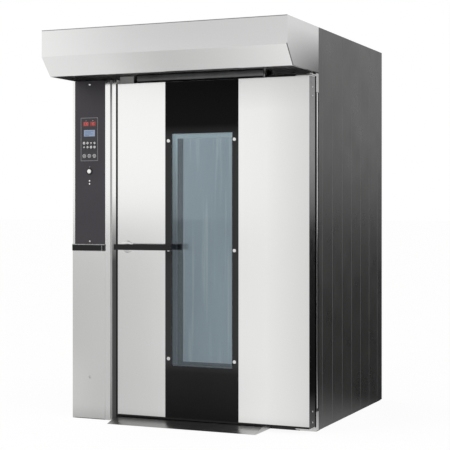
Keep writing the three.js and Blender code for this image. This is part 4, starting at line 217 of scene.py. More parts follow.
def shaded(tree, colour, shades):
    """The colour with its painted light and shade laid over it, one after the other."""
    for shade, face, *stretches in shades:
        shares = []
        for sockets, rows in ((own_place(tree), stretches), (face_turn(tree), FACES[face])):
            for axis, low, high, at_low, at_high in rows:
                shares.append(span(tree, sockets[axis], at_low, at_high, low, high))
        colour = mix(tree, product(tree, shares), colour, linear(shade))
    return colour


print("shades on the hood:", len(HOOD_PAINTED_LIGHT), "on the ramp:", len(RAMP_PAINTED_LIGHT))

# %% [markdown]
# ## Stainless sheet
# The hood, the door's skins and the column are 1.5 mm stainless steel with a ground satin finish.
# Grinding leaves long fine scratches in one direction. They are far finer than a pixel, so all they
# do from a step away is to blur the mirror image a little, with a grain that is only just there.
# A noise that is stretched along the grain gives it, drawn about 1 mm wide, as coarse as it needs to
# be to show close up. A second, cloudy noise stands for the slight waviness of thin sheet. The small
# box for the door switch is sheet too, but zinc plated, so it is matt.

# %% Ground stainless steel
STREAK_MM = 1.0
STREAK_LENGTH = 160  # times as long as wide
CLOUD_MM = 420
SATIN = ("F5F5F4", "F9F9F8"), 0.12  # tints and roughness of the upright sheets


def ground_stainless(name, along, tints, rough, shades=()):
    """Satin stainless steel with scratches along one axis: x, y or z."""
    made, tree, out = new_material(name)
    stretch = [STREAK_LENGTH if axis == along else 1 for axis in "xyz"]
    streaks = pattern(tree, "TexNoise", STREAK_MM, stretch, Detail=3.0).outputs["Fac"]
    cloud = pattern(tree, "TexNoise", CLOUD_MM, Detail=1.0).outputs["Fac"]
    colour = shaded(tree, two_tone(tree, streaks, *tints), shades)
    roughness = span(tree, streaks, rough - 0.015, rough + 0.015)
    waves = add(tree, "Bump", {"Height": cloud, "Strength": 0.05, "Distance": 0.002}).outputs[0]
    principled(tree, out, {"Base Color": colour, "Metallic": 1.0, "Roughness": roughness, "Normal": waves})
    return made


STAINLESS_UPRIGHT = ground_stainless("stainless ground upright", "z", *SATIN)
SKIN_STEEL = ground_stainless("stainless ground skin", "z", *SATIN, SKIN_PAINTED_SHADE)
POST_STEEL = ground_stainless("stainless strike post", "z", *SATIN, POST_PAINTED_REFLECTION)
STAINLESS_LEVEL = ground_stainless("stainless ground level", "x", ("E5E4E4", "E9E8E8"), 0.16, HOOD_PAINTED_LIGHT)
RAMP_STEEL = ground_stainless("stainless ramp worn with painted light and shade", "x", ("AEAEAD", "BBBBBA"), 0.34, RAMP_PAINTED_LIGHT)
JOINT_STEEL = ground_stainless("stainless joint cover", "z", ("C4C4C4", "CECECD"), 0.5)
CHAMBER_STEEL = ground_stainless("stainless chamber sheet", "z", ("B9BBBD", "C4C6C8"), 0.34)
ZINC_MATT = ground_stainless("zinc matt switch box", "z", ("D2D2D1", "DCDCDB"), 0.5)
print("stainless finishes:", STAINLESS_UPRIGHT.name, STAINLESS_LEVEL.name, CHAMBER_STEEL.name)

# %% [markdown]
# ## Bright turned steel, zinc and cast metal
# Bolts, pins and the glass holders are polished, so they mirror the room with a low roughness.
# Galvanised sheet shows spangle: crystals of zinc a few millimetres wide, each a slightly other grey,
# which a Voronoi texture gives. Cast aluminium is matt and grainy. The folded trays and frames behind
# the bright skins, and the gutter, have a dark bronze-grey bake on them.

# %% Other metals
SPANGLE_MM = 9


def polished_steel():
    made, tree, out = new_material("steel polished")
    smears = pattern(tree, "TexNoise", 6, Detail=2.0).outputs["Fac"]
    colour = two_tone(tree, smears, "DCDCDB", "EDEDEC", 0.35, 0.65)
    roughness = span(tree, smears, 0.08, 0.2)
    principled(tree, out, {"Base Color": colour, "Metallic": 1.0, "Roughness": roughness})
    return made


def galvanised_sheet():
    made, tree, out = new_material("steel galvanised")
    crystals = pattern(tree, "TexVoronoi", SPANGLE_MM).outputs["Color"]
    tone = add(tree, "RGBToBW", {"Color": crystals}).outputs["Val"]
    colour = two_tone(tree, tone, "9EA1A2", "C3C6C7", 0.1, 0.9)
    roughness = span(tree, tone, 0.38, 0.55, 0, 1)
    principled(tree, out, {"Base Color": colour, "Metallic": 1.0, "Roughness": roughness})
    return made


def cast_aluminium():
    made, tree, out = new_material("aluminium cast")
    grain = pattern(tree, "TexNoise", 2.5, Detail=4.0).outputs["Fac"]
    colour = two_tone(tree, grain, "989A9B", "B4B6B7")
    relief = add(tree, "Bump", {"Height": grain, "Strength": 0.4, "Distance": 0.0006}).outputs[0]
    principled(tree, out, {"Base Color": colour, "Metallic": 1.0, "Roughness": 0.55, "Normal": relief})
    return made


def dark_steel(name, dark, light, rough, shades=()):
    """Satin steel with a dark bronze-grey bake on it."""
    made, tree, out = new_material(name)
    smears = pattern(tree, "TexNoise", 40, Detail=2.0).outputs["Fac"]
    colour = shaded(tree, two_tone(tree, smears, dark, light), shades)
    roughness = span(tree, smears, rough - 0.03, rough + 0.03)
    principled(tree, out, {"Base Color": colour, "Metallic": 1.0, "Roughness": roughness})
    return made


def heated_tube():
    """Stainless tube that has run red hot: brown and blue heat colours along its length."""
    made, tree, out = new_material("steel heat-tinted")
    bands = pattern(tree, "TexNoise", 60, Detail=2.0).outputs["Fac"]
    colour = two_tone(tree, bands, "6E655E", "55565F", 0.35, 0.65)
    principled(tree, out, {"Base Color": colour, "Metallic": 1.0, "Roughness": 0.45})
    return made


POLISHED = polished_steel()
GALVANISED = galvanised_sheet()
CAST = cast_aluminium()
# The door's tray gets painted shade, darker towards its foot.
DARK_STEEL = dark_steel("steel dark satin", "98989A", "A4A4A5", 0.15, TRAY_PAINTED_SHADE)
FRAME_STEEL = dark_steel("steel frame blackened", "38383A", "424243", 0.3)
GUTTER_STEEL = dark_steel("steel gutter blackened", "8A8A8B", "969697", 0.4)
HEATED = heated_tube()
print("metals:", POLISHED.name, GALVANISED.name, CAST.name, HEATED.name)

# %% [markdown]
# ## Painted and coated sheet
# The side skins and the control sheet are pre-coated steel: a satin paint film, with the faint
# dimples that painters call orange peel. They differ in colour, so one function makes them all.
# The side skins are made of upright planks, and each joint is a fold whose edge shows as a paler line,
# partly worn paint and partly painted highlight.

# %% Paint films
SEAM_FIRST_Y = -0.321
SEAM_PITCH = 0.185
SEAM_LINE = 0.0022  # half of the pale line's width
# The pale line's colour, partly worn paint and partly a painted highlight on the fold
SEAM_WEAR_AND_HIGHLIGHT = "5C5C5E"


def paint_film(name, dark, light, rough, peel_mm=3.0, strength=0.05, specular=0.5):
    """A paint film over steel, with orange peel about peel_mm wide."""
    made, tree, out = new_material(name)
    peel = pattern(tree, "TexNoise", peel_mm, Detail=2.0).outputs["Fac"]
    patches = pattern(tree, "TexNoise", 260, Detail=2.0).outputs["Fac"]
    relief = add(tree, "Bump", {"Height": peel, "Strength": strength, "Distance": 0.0004})
    inputs = {
        "Base Color": two_tone(tree, patches, dark, light),
        "Roughness": span(tree, patches, rough - 0.04, rough + 0.05),
        "Specular IOR Level": specular,
        "Normal": relief.outputs[0],
    }
    principled(tree, out, inputs)
    return made


def seamed_film(name, dark, light, rough, specular):
    """The paint film with a pale upright line at each plank joint, partly wear and partly painted
    highlight.
    """
    made = paint_film(name, dark, light, rough, specular=specular)
    tree = made.node_tree
    shader = next(node for node in tree.nodes if node.type == "BSDF_PRINCIPLED")
    paint = shader.inputs["Base Color"].links[0].from_socket
    shifted = calc(tree, "SUBTRACT", own_place(tree)["Y"], SEAM_FIRST_Y)
    swing = calc(tree, "PINGPONG", shifted, SEAM_PITCH / 2)
    line = calc(tree, "LESS_THAN", swing, SEAM_LINE)
    tree.links.new(mix(tree, line, paint, linear(SEAM_WEAR_AND_HIGHLIGHT)), shader.inputs["Base Color"])
    return made


SIDE_COAT = seamed_film("paint side grey", "272726", "2D2D2C", 0.3, 0.8)
FASCIA_COAT = paint_film("paint fascia anthracite", "353237", "3A373C", 0.42, specular=0.4)
BLACK_ENAMEL = paint_film("enamel black", "0B0B0C", "101011", 0.2)
MOTOR_COAT = paint_film("paint motor blue grey", "3C454F", "46505A", 0.4, 1.5, 0.2)
HANDLE_COAT = paint_film("paint handle black", "090909", "0D0D0E", 0.32, specular=0.35)
print("paints:", SIDE_COAT.name, FASCIA_COAT.name, BLACK_ENAMEL.name)

# %% [markdown]
# ## The door's glass
# The outer pane covers the middle of the door from top to bottom. Its border is printed black from
# behind, so only the window lets the eye in. One material does both: a mask on the pane's own
# coordinates is 1 inside the window and 0 on the print. The window carries a heat-reflecting coat, so
# it mirrors more than bare glass does. The inner pane is heat-reflecting glass too: its metal oxide
# film gives the blue-grey mirror that is seen through the window.

# %% Glass
GLASS_LOW, GLASS_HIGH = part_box("door_glass_outer")
PANE_LOW, PANE_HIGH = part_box("door_glass_inner")
PANE_PLAY = 0.001  # between the pane and the window's walls
WINDOW_LOW = PANE_LOW - Vector((PANE_PLAY, 0, PANE_PLAY))
WINDOW_HIGH = PANE_HIGH + Vector((PANE_PLAY, 0, PANE_PLAY))
# The print's colour over the glass's height, from its foot: painted grey reflection beside the window, and
# painted dark reflection of the hood's underside at the top
PRINT_PAINTED_REFLECTION = [
    (0.0, "161616"),
    (0.14, "222222"),
    (0.17, "343435"),
    (0.83, "323233"),
    (0.87, "0C0C0C"),
    (1.0, "070707"),
]


def window_mask(tree):
    """1 inside the window's rectangle and 0 outside it."""
    place = own_place(tree)
    edges = []
    for axis in ("X", "Z"):
        low, high = WINDOW_LOW["XYZ".index(axis)], WINDOW_HIGH["XYZ".index(axis)]
        edges.append(calc(tree, "GREATER_THAN", place[axis], low))
        edges.append(calc(tree, "LESS_THAN", place[axis], high))
    return product(tree, edges)


def printed_glass():
    made, tree, out = new_material("glass printed black")
    smears = pattern(tree, "TexNoise", 180, Detail=3.0).outputs["Fac"]
    height = span(tree, own_place(tree)["Z"], 0.0, 1.0, GLASS_LOW.z, GLASS_HIGH.z)
    reflected_print = between(tree, height, *[(at, linear(colour)) for at, colour in PRINT_PAINTED_REFLECTION])
    inputs = {
        "Base Color": mix(tree, span(tree, smears, 0.0, 0.12), reflected_print, grey(0.002)),
        "Roughness": span(tree, smears, 0.03, 0.07),
        "IOR": 1.52,
        "Specular IOR Level": 0.05,
    }
    print_side = add(tree, "BsdfPrincipled", inputs)
    clear = add(tree, "BsdfTransparent", {"Color": linear("F6FAFB")})
    gloss = add(tree, "BsdfGlossy", {"Color": linear("CCDAE2"), "Roughness": 0.02})
    facing = add(tree, "Fresnel", {"IOR": 1.85})
    pane = add(tree, "MixShader", {0: facing.outputs[0], 1: clear.outputs[0], 2: gloss.outputs[0]})
    both = add(tree, "MixShader", {0: window_mask(tree), 1: print_side.outputs[0], 2: pane.outputs[0]})
    tree.links.new(both.outputs[0], out.inputs["Surface"])
    return made


def mirror_glass():
    """Panes of heat-reflecting glass: a cloudy blue-grey mirror with upright pale streaks."""
    made, tree, out = new_material("glass heat-reflecting")
    smears = pattern(tree, "TexNoise", 240, (1, 1, 4), Detail=3.0).outputs["Fac"]
    streaks = pattern(tree, "TexNoise", 26, (1, 1, 26), Detail=1.0).outputs["Fac"]
    pale = span(tree, streaks, 0.0, 0.75, 0.54, 0.7)
    colour = mix(tree, pale, two_tone(tree, smears, "BEC6CF", "D0D8E0"), linear("EFF3F5"))
    inputs = {"Base Color": colour, "Metallic": 0.35, "Roughness": span(tree, smears, 0.1, 0.15)}
    film = add(tree, "BsdfPrincipled", inputs)
    clear = add(tree, "BsdfTransparent", {"Color": linear("A8B4BC")})
    both = add(tree, "MixShader", {0: 0.86, 1: clear.outputs[0], 2: film.outputs[0]})
    tree.links.new(both.outputs[0], out.inputs["Surface"])
    return made


PRINTED_GLASS = printed_glass()
MIRROR_GLASS = mirror_glass()
print("glass:", PRINTED_GLASS.name, MIRROR_GLASS.name)

# %% [markdown]
# ## Rubber, wool, plastics and lit windows
# The gasket is matt silicone rubber, and the insulation is mineral wool with a fibrous surface. The
# keypad's foil is printed polyester film. Its display windows are lit from behind, so they glow a
# little, and the push button and the lamps are glossy white plastic. The window's spacer is painted
# aluminium that looks pale blue through the coated glass; a painted glow brightens it, and painted
# shade makes it dull grey low down.

# %% Soft and moulded finishes
def moulded(name, dark, light, rough, grain_mm=1.2, strength=0.15, glow=None):
    """Plastic, rubber or film with a fine grain; glow is the colour and strength of light behind it."""
    made, tree, out = new_material(name)
    grain = pattern(tree, "TexNoise", grain_mm, Detail=3.0).outputs["Fac"]
    colour = two_tone(tree, grain, dark, light)
    relief = add(tree, "Bump", {"Height": grain, "Strength": strength, "Distance": 0.0003})
    inputs = {"Base Color": colour, "Roughness": rough, "Normal": relief.outputs[0]}
    if glow:
        inputs["Emission Color"] = linear(glow[0])
        inputs["Emission Strength"] = glow[1]
    principled(tree, out, inputs)
    return made


def spacer_painted_glow():
    """Painted aluminium seen through the coated glass, with a painted glow that brightens it a little and
    painted shade low down.
    """
    made, tree, out = new_material("spacer with painted glow and shade")
    grain = pattern(tree, "TexNoise", 3, Detail=2.0).outputs["Fac"]
    colour = shaded(tree, two_tone(tree, grain, "DCE9EE", "E8F1F4"), SPACER_PAINTED_SHADE)
    # A painted glow: the spacer gives off a little of its own colour.
    lit = {"Base Color": colour, "Emission Color": colour, "Emission Strength": 0.1, "Roughness": 0.35}
    principled(tree, out, lit)
    return made


SEAL_RUBBER = moulded("rubber silicone black", "111111", "1A1A1A", 0.6)
# Matt black rubber for the post's lip, and for black strips that are painted shade in the door's gaps
RUBBER_BLACK_AND_GAP_SHADE = moulded("rubber lip matt black and painted gap shade", "060606", "0B0B0B", 0.8)
GASKET_GREY = moulded("rubber gasket violet grey", "1E1C26", "26242E", 0.5, 1.2, 0.1)
WOOL = moulded("mineral wool", "8F8258", "B5A878", 0.95, 4.0, 1.0)
KEY_FOIL = moulded("film keypad dark", "2D2C2F", "333236", 0.35, 1.0, 0.05)
FOIL_GREY = moulded("film print grey", "7C7A7E", "8A888C", 0.4, 1.0, 0.05)
FOIL_INK = moulded("film print dark", "4A484C", "545256", 0.4, 1.0, 0.05)
FOIL_WHITE = moulded("film print white", "D8D8D8", "E2E2E2", 0.4, 1.0, 0.05)
LED_RED = moulded("lens red lit", "7C302C", "893A36", 0.25, 1.0, 0.05, ("B83A2E", 0.08))
DIGIT_RED = moulded("segment red lit", "D26A6C", "DA7678", 0.3, 1.0, 0.05, ("E05058", 0.15))
LCD_BLUE = moulded("lens blue lit", "8492AA", "8E9BB2", 0.25, 1.0, 0.05, ("6F86B4", 0.1))
LCD_INK = moulded("segment blue dark", "5A6A88", "64748F", 0.4, 1.0, 0.05)
BUTTON_WHITE = moulded("plastic white gloss", "E9E9E6", "F1F1EE", 0.2, 1.0, 0.03)
RING_BLACK = moulded("plastic black satin", "101011", "171718", 0.4, 1.0, 0.1)
SPACER_PAINTED_GLOW = spacer_painted_glow()
print("soft finishes:", SEAL_RUBBER.name, WOOL.name, KEY_FOIL.name, SPACER_PAINTED_GLOW.name)

# %% [markdown]
# ## The finishes on the CAD pieces
# Each node of the frame gets the finish of the real piece. The shapes stay as they are.

# %% Assign finishes
FINISHES = {
    STAINLESS_UPRIGHT: ["column_casing", "lower_panel", "door_skin_left"],
    SKIN_STEEL: ["door_skin_right"],
    POST_STEEL: ["strike_post"],
    ZINC_MATT: ["door_switch_box"],
    STAINLESS_LEVEL: ["hood_shell"],
    RAMP_STEEL: ["ramp"],
    CHAMBER_STEEL: [
        "chamber_floor", "turntable", "liner_left", "liner_right", "liner_rear", "liner_top",
        "air_panel_left", "air_panel_right", "rear_air_wall", "air_ceiling", "circulation_fan",
        "steam_cascade", "flue_pipe", "damper_flap", "door_inner_skin",
    ],
    POLISHED: [
        "glass_buttons_left", "glass_buttons_right", "door_hinge_top", "door_hinge_bottom",
        "hinge_bracket_top", "hinge_bracket_bottom", "panel_lock", "handle_shaft", "latch_bolt",
        "rack_hook", "handle_escutcheon",
    ],
    GALVANISED: ["rear_cover", "roof_panel", "hood_fan_casing", "hood_fan_wheel", "electrics_plate"],
    HEATED: ["heater_bank"],
    SIDE_COAT: ["side_panel_left", "side_panel_right"],
    FASCIA_COAT: ["control_panel"],
    BLACK_ENAMEL: ["hood_baffle"],
    DARK_STEEL: ["door_casing"],
    FRAME_STEEL: ["front_frame", "base_frame"],
    MOTOR_COAT: ["fan_motor"],
    CAST: ["rack_gearmotor"],
    HANDLE_COAT: ["handle_lever", "divider_strip"],
    PRINTED_GLASS: ["door_glass_outer"],
    MIRROR_GLASS: ["door_glass_inner"],
    SEAL_RUBBER: ["door_seal"],
    WOOL: ["insulation", "door_insulation"],
    KEY_FOIL: ["keypad_foil", "display_board"],
    BUTTON_WHITE: ["push_button", "signal_lamps"],
}


def dress(piece, finish):
    """Gives the whole piece one finish."""
    piece.data.materials.clear()
    piece.data.materials.append(finish)


for finish, names in FINISHES.items():
    for name in names:
        dress(NODES[name], finish)
print("dressed:", sum(len(names) for names in FINISHES.values()), "of", len(NODES))

# %% [markdown]
# ## Folded sheet with real edges
# Sheet is folded over a bar, so its edges are round, and a round edge is what draws the thin bright
# lines on a steel cabinet. The frame's sheets have sharp corners. A copy of each visible sheet is
# merged, its flat triangles are joined, and a Bevel modifier rounds what is left. The copy stands for
# the frame's piece, on the same body and in the same finish.

# %% Rounded copies of the sheets
BODY_OF = {name: piece["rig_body"] for name, piece in NODES.items()}
MERGE = 0.00002
FLAT = math.radians(0.8)


def pick(piece):
    """Makes this the only selected piece and the active one."""
    bpy.ops.object.select_all(action="DESELECT")
    piece.select_set(True)
    bpy.context.view_layer.objects.active = piece


def finished(piece, name, body, finish, smooth=35):
    """Names a new piece, gives it its finish and sets it on its body."""
    piece.name = name
    piece.data.name = name
    dress(piece, finish)
    pick(piece)
    bpy.ops.object.shade_smooth_by_angle(angle=math.radians(smooth))
    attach(piece, body)
    return piece


def flatten(piece):
    """Lets the big faces set the normals at their corners, so that they mirror as flat sheet does."""
    weighted = piece.modifiers.new("weighted", "WEIGHTED_NORMAL")
    weighted.keep_sharp = True
    weighted.weight = 100
    bpy.ops.object.modifier_apply(modifier=weighted.name)


def rounded(node, radius_mm, segments=3, angle=20):
    """A copy of a node with merged corners and round edges, which stands for it."""
    piece = bpy.data.objects.new(node + "_sheet", NODES[node].data.copy())
    bpy.context.scene.collection.objects.link(piece)
    pick(piece)
    bpy.ops.object.mode_set(mode="EDIT")
    bpy.ops.mesh.select_all(action="SELECT")
    bpy.ops.mesh.remove_doubles(threshold=MERGE)
    bpy.ops.mesh.dissolve_limited(angle_limit=FLAT)
    bpy.ops.object.mode_set(mode="OBJECT")
    edge = piece.modifiers.new("edge", "BEVEL")
    edge.width = radius_mm * MM
    edge.segments = segments
    edge.limit_method = "ANGLE"
    edge.angle_limit = math.radians(angle)
    bpy.ops.object.modifier_apply(modifier=edge.name)
    finish = NODES[node].data.materials[0]
    finished(piece, node + "_sheet", BODY_OF[node], finish)
    flatten(piece)
    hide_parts(node)
    return piece


EDGE_MM = {
    "hood_shell": 0.9,
    "column_casing": 0.8,
    "control_panel": 0.7,
    "lower_panel": 0.9,
    "divider_strip": 1.5,
    "strike_post": 0.9,
    "door_skin_left": 0.9,
    "door_skin_right": 0.9,
    "door_glass_outer": 0.8,
    "door_switch_box": 1.5,
    "ramp": 0.9,
    "handle_lever": 2.5,
    "handle_escutcheon": 1.0,
    "glass_buttons_left": 0.8,
    "glass_buttons_right": 0.8,
    "hinge_bracket_top": 1.2,
    "hinge_bracket_bottom": 1.2,
    "door_hinge_top": 1.0,
    "door_hinge_bottom": 1.0,
}
for node, radius in EDGE_MM.items():
    rounded(node, radius)
print("rounded sheets:", len(EDGE_MM))

# %% [markdown]
# ## Blocks, heads and marks
# The small fittings are blocks and turned heads. Each starts as a primitive at its real place and is
# shaped in edit mode: all edges of a block are bevelled, and the front rim of a head is bevelled
# until it is a dome. What belongs together is joined to one piece.

# %% Makers of small fittings
def placed(piece):
    """Sends a new primitive's place and turn into its mesh."""
    pick(piece)
    bpy.ops.object.transform_apply(location=True, rotation=True, scale=True)
    return piece


def slab(low, high, edge_mm=0.0, segments=2):
    """A block between two corners in millimetres, with all its edges rounded."""
    low, high = Vector(low) * MM, Vector(high) * MM
    bpy.ops.object.select_all(action="DESELECT")
    bpy.ops.mesh.primitive_cube_add(size=1, location=(low + high) / 2)
    piece = bpy.context.object
    piece.scale = high - low
    placed(piece)
    if edge_mm:
        bpy.ops.object.mode_set(mode="EDIT")
        bpy.ops.mesh.select_all(action="SELECT")
        bpy.ops.mesh.bevel(offset=edge_mm * MM, segments=segments, affect="EDGES")
        bpy.ops.object.mode_set(mode="OBJECT")
    return piece


AIMS = {
    "front": (math.radians(90), 0, 0),
    "rear": (math.radians(-90), 0, 0),
    "right": (0, math.radians(90), 0),
    "top": (0, 0, 0),
}
OUTWARD = {"front": (0, -1, 0), "rear": (0, 1, 0), "right": (1, 0, 0), "top": (0, 0, 1)}


def head(at, radius, height, aim="front", dome_mm=0.0, sides=32, segments=5, turn=0.0):
    """A turned head that stands on a face at this place and points out of it."""
    outward = Vector(OUTWARD[aim])
    middle = (Vector(at) + outward * height / 2) * MM
    bpy.ops.object.select_all(action="DESELECT")
    bpy.ops.mesh.primitive_cylinder_add(
        vertices=sides, radius=radius * MM, depth=height * MM, location=middle, rotation=AIMS[aim]
    )
    piece = placed(bpy.context.object)
    if turn:
        spin_about(piece, middle, turn)
    if dome_mm:
        select_faces(piece, lambda face: face.normal.dot(outward) > 0.9)
        bpy.ops.object.mode_set(mode="EDIT")
        bpy.ops.mesh.bevel(offset=dome_mm * MM, segments=segments, affect="EDGES")
        bpy.ops.object.mode_set(mode="OBJECT")
    return piece


def spin_about(piece, middle, degrees):
    """Turns a mark in its own plane about its middle."""
    pick(piece)
    bpy.ops.object.mode_set(mode="EDIT")
    bpy.ops.mesh.select_all(action="SELECT")
    bpy.ops.transform.rotate(
        value=math.radians(degrees), orient_axis="Y", center_override=tuple(middle), orient_type="GLOBAL"
    )
    bpy.ops.object.mode_set(mode="OBJECT")


def select_faces(piece, wanted):
    """Selects the faces that pass the test, and nothing else."""
    pick(piece)
    bpy.ops.object.mode_set(mode="EDIT")
    bpy.ops.mesh.select_mode(type="FACE")
    bpy.ops.mesh.select_all(action="DESELECT")
    bpy.ops.object.mode_set(mode="OBJECT")
    for face in piece.data.polygons:
        face.select = wanted(face)


def joined(pieces):
    """One piece made of several."""
    bpy.ops.object.select_all(action="DESELECT")
    for piece in pieces:
        piece.select_set(True)
    bpy.context.view_layer.objects.active = pieces[0]
    if len(pieces) > 1:
        bpy.ops.object.join()
    return bpy.context.object


def in_mm(box):
    """The two corners of a box in millimetres."""
    return [corner / MM for corner in box]


def plate(x, z, y, edge_mm=0.0, segments=2):
    """A block given as its ranges across, up and back."""
    return slab((x[0], y[0], z[0]), (x[1], y[1], z[1]), edge_mm, segments)


def fitting(name, body, slot, finish, *plates):
    """A piece made of plates, each given as its ranges, its edge and the edge's segments."""
    return finished(joined([plate(*each) for each in plates]), name, body, finish)


def hoop(at, radius, thickness, around, across):
    """A round ring of round section that lies against the front."""
    bpy.ops.object.select_all(action="DESELECT")
    bpy.ops.mesh.primitive_torus_add(
        major_radius=radius * MM,
        minor_radius=thickness * MM,
        major_segments=around,
        minor_segments=across,
        location=Vector(at) * MM,
        rotation=AIMS["front"],
    )
    return placed(bpy.context.object)


def screw(at, radius=5.0, aim="front"):
    """A domed screw head with a sunk socket."""
    piece = head(at, radius, radius * 0.55, aim, dome_mm=radius * 0.4)
    outward = Vector(OUTWARD[aim])
    top = max(corner.co.dot(outward) for corner in piece.data.vertices) - 0.0001
    select_faces(piece, lambda face: face.normal.dot(outward) > 0.99 and face.center.dot(outward) > top)
    bpy.ops.object.mode_set(mode="EDIT")
    bpy.ops.mesh.inset(thickness=radius * 0.2 * MM)
    bpy.ops.mesh.extrude_region_move(TRANSFORM_OT_translate={"value": tuple(outward * -radius * 0.3 * MM)})
    bpy.ops.object.mode_set(mode="OBJECT")
    return piece


print("makers ready, heads can point to:", ", ".join(AIMS))

# %% [markdown]
# ## The keypad
# A printed film covers the controller: a pale outline, two red numeric displays with a small lamp
# over each, a blue text display, eight square keys and three round ones. The numbers are plain seven
# segment digits, and the keys carry plain geometric marks.

# %% Keypad
FACE_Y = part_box("door_skin_left")[0].y / MM  # front plane of door and column
PAD_LOW, PAD_HIGH = in_mm(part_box("keypad_foil"))
PAD_X = (PAD_LOW.x + PAD_HIGH.x) / 2
PAD_Z = (PAD_LOW.z + PAD_HIGH.z) / 2
FOIL_Y = PAD_LOW.y + 1.0  # the film's face, behind the keys' domes
PRINT = 0.35  # how far a print stands off the film
OUTLINE = 3.0  # width of the pale outline
DISPLAY_Z, DISPLAY_HALF = PAD_Z + 93, (19.2, 13.5)
DISPLAY_ASIDE = 24  # from the keypad's middle to a red display's middle
DIGIT_SIZE = 8, 18, 3  # width, height and gap
LCD_Z, LCD_HALF = PAD_Z + 37, (37.7, 19.7)
LENS_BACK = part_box("display_board")[0].y / MM + 0.1


def pad_piece(parts, name, finish):
    return finished(joined(parts), name, "cabinet", finish)


def lens(x, z, half):
    """A display window in the film, with half its width and half its height."""
    return plate((x - half[0], x + half[0]), (z - half[1], z + half[1]), (FOIL_Y + 0.4, LENS_BACK), 0.2)


LEFT, RIGHT = PAD_LOW.x + 0.5, PAD_HIGH.x - 0.5
LOW, HIGH = PAD_LOW.z + 0.5, PAD_HIGH.z - 0.5
PRINT_Y = FOIL_Y - PRINT, FOIL_Y + 0.2
outline = [
    plate((LEFT, RIGHT), (LOW, LOW + OUTLINE), PRINT_Y),
    plate((LEFT, RIGHT), (HIGH - OUTLINE, HIGH), PRINT_Y),
    plate((LEFT, LEFT + OUTLINE), (LOW + OUTLINE, HIGH - OUTLINE), PRINT_Y),
    plate((RIGHT - OUTLINE, RIGHT), (LOW + OUTLINE, HIGH - OUTLINE), PRINT_Y),
]
pad_piece(outline, "keypad_outline", FOIL_GREY)
lenses = [lens(PAD_X + aside, DISPLAY_Z, DISPLAY_HALF) for aside in (-DISPLAY_ASIDE, DISPLAY_ASIDE)]
pad_piece(lenses, "display_lenses_red", LED_RED)
pad_piece([lens(PAD_X, LCD_Z, LCD_HALF)], "display_lens_blue", LCD_BLUE)

# Strokes of a seven-segment digit: left, low, right and high edge, as shares of its width and height
STROKES = {
    "a": (0, 0.9, 1, 1), "b": (0.8, 0.5, 1, 1), "c": (0.8, 0, 1, 0.5), "d": (0, 0, 1, 0.1),
    "e": (0, 0, 0.2, 0.5), "f": (0, 0.5, 0.2, 1), "g": (0, 0.45, 1, 0.55),
}
DIGITS = {"0": "abcdef", "1": "bc", "2": "abged", "3": "abgcd", "5": "afgcd"}


def number(text, x, z, width, height, gap, y):
    """Plain digits from their strokes, centred on x and z."""
    strokes = []
    left = x - (len(text) * width + (len(text) - 1) * gap) / 2
    for place, digit in enumerate(text):
        at = left + place * (width + gap)
        for name in DIGITS[digit]:
            x0, z0, x1, z1 = STROKES[name]
            low = (at + x0 * width, y - PRINT, z - height / 2 + z0 * height)
            high = (at + x1 * width, y + 0.1, z - height / 2 + z1 * height)
            strokes.append(slab(low, high))
    return strokes


digits = number("230", PAD_X - DISPLAY_ASIDE, DISPLAY_Z, *DIGIT_SIZE, FOIL_Y + 0.4)
digits += number("15", PAD_X + DISPLAY_ASIDE, DISPLAY_Z, *DIGIT_SIZE, FOIL_Y + 0.4)
pad_piece(digits, "display_digits", DIGIT_RED)
TEXT_LEFT, TEXT_HALF, TEXT_PITCH = PAD_X - 31, 1.6, 8
lines = []
for row, width in enumerate((58, 40, 52, 30)):
    z = LCD_Z + 11 - row * TEXT_PITCH
    across, up = (TEXT_LEFT, TEXT_LEFT + width), (z - TEXT_HALF, z + TEXT_HALF)
    lines.append(plate(across, up, (FOIL_Y + 0.05, FOIL_Y + 0.5)))
pad_piece(lines, "display_text_lines", LCD_INK)
lamps = [head((PAD_X + x, FOIL_Y, DISPLAY_Z + 19), 1.8, 0.8, dome_mm=0.5, sides=16) for x in (-23, 25)]
print("display at", round(PAD_X), round(DISPLAY_Z), "with", len(lines), "text lines")
pad_piece(lamps, "display_lamps", BUTTON_WHITE)

# %% Square and round keys
KEY_HALF = 8.2
KEY_XS = [PAD_X + 24 * step for step in (-1.5, -0.5, 0.5, 1.5)]
KEY_ZS = [PAD_Z - 47, PAD_Z - 22.5]
MARK_SIDES = 3, 4, 24, 6  # triangle, diamond, disc and hexagon
MARK, MARK_HEIGHT = 7.6, 0.35  # a mark's radius, and how far it stands off its key
KEY_FACE = PAD_LOW.y
ROUND_PITCH, ROUND_Z = 34.5, PAD_Z - 100
keys, marks, centres = [], [], []
for row, z in enumerate(KEY_ZS):
    for column, x in enumerate(KEY_XS):
        across, up = (x - KEY_HALF, x + KEY_HALF), (z - KEY_HALF, z + KEY_HALF)
        keys.append(plate(across, up, (KEY_FACE - 0.3, KEY_FACE + 0.6), 0.25))
        sides = MARK_SIDES[(column + 2 * row) % 4]
        turn = 180 if (sides == 3 and row) else 0
        marks.append(head((x, KEY_FACE - 0.2, z), MARK, MARK_HEIGHT, sides=sides, turn=turn))
        centres.append(head((x, KEY_FACE - 0.45, z), 3.4, MARK_HEIGHT, sides=sides, turn=turn))
pad_piece(keys, "keys_square", KEY_FOIL)
pad_piece(marks, "keys_square_marks", FOIL_WHITE)
pad_piece(centres, "keys_square_mark_centres", FOIL_INK)
rims, diamonds, cores = [], [], []
for step in (-1, 0, 1):
    x = PAD_X + ROUND_PITCH * step
    rims.append(hoop((x, KEY_FACE, ROUND_Z), 10.4, 0.95, 48, 8))
    diamonds.append(head((x, KEY_FACE + 0.1, ROUND_Z), MARK, MARK_HEIGHT, sides=4))
    cores.append(head((x, KEY_FACE - 0.15, ROUND_Z), 5.0, MARK_HEIGHT, sides=4))
print("keys:", len(keys), "square,", len(rims), "round")
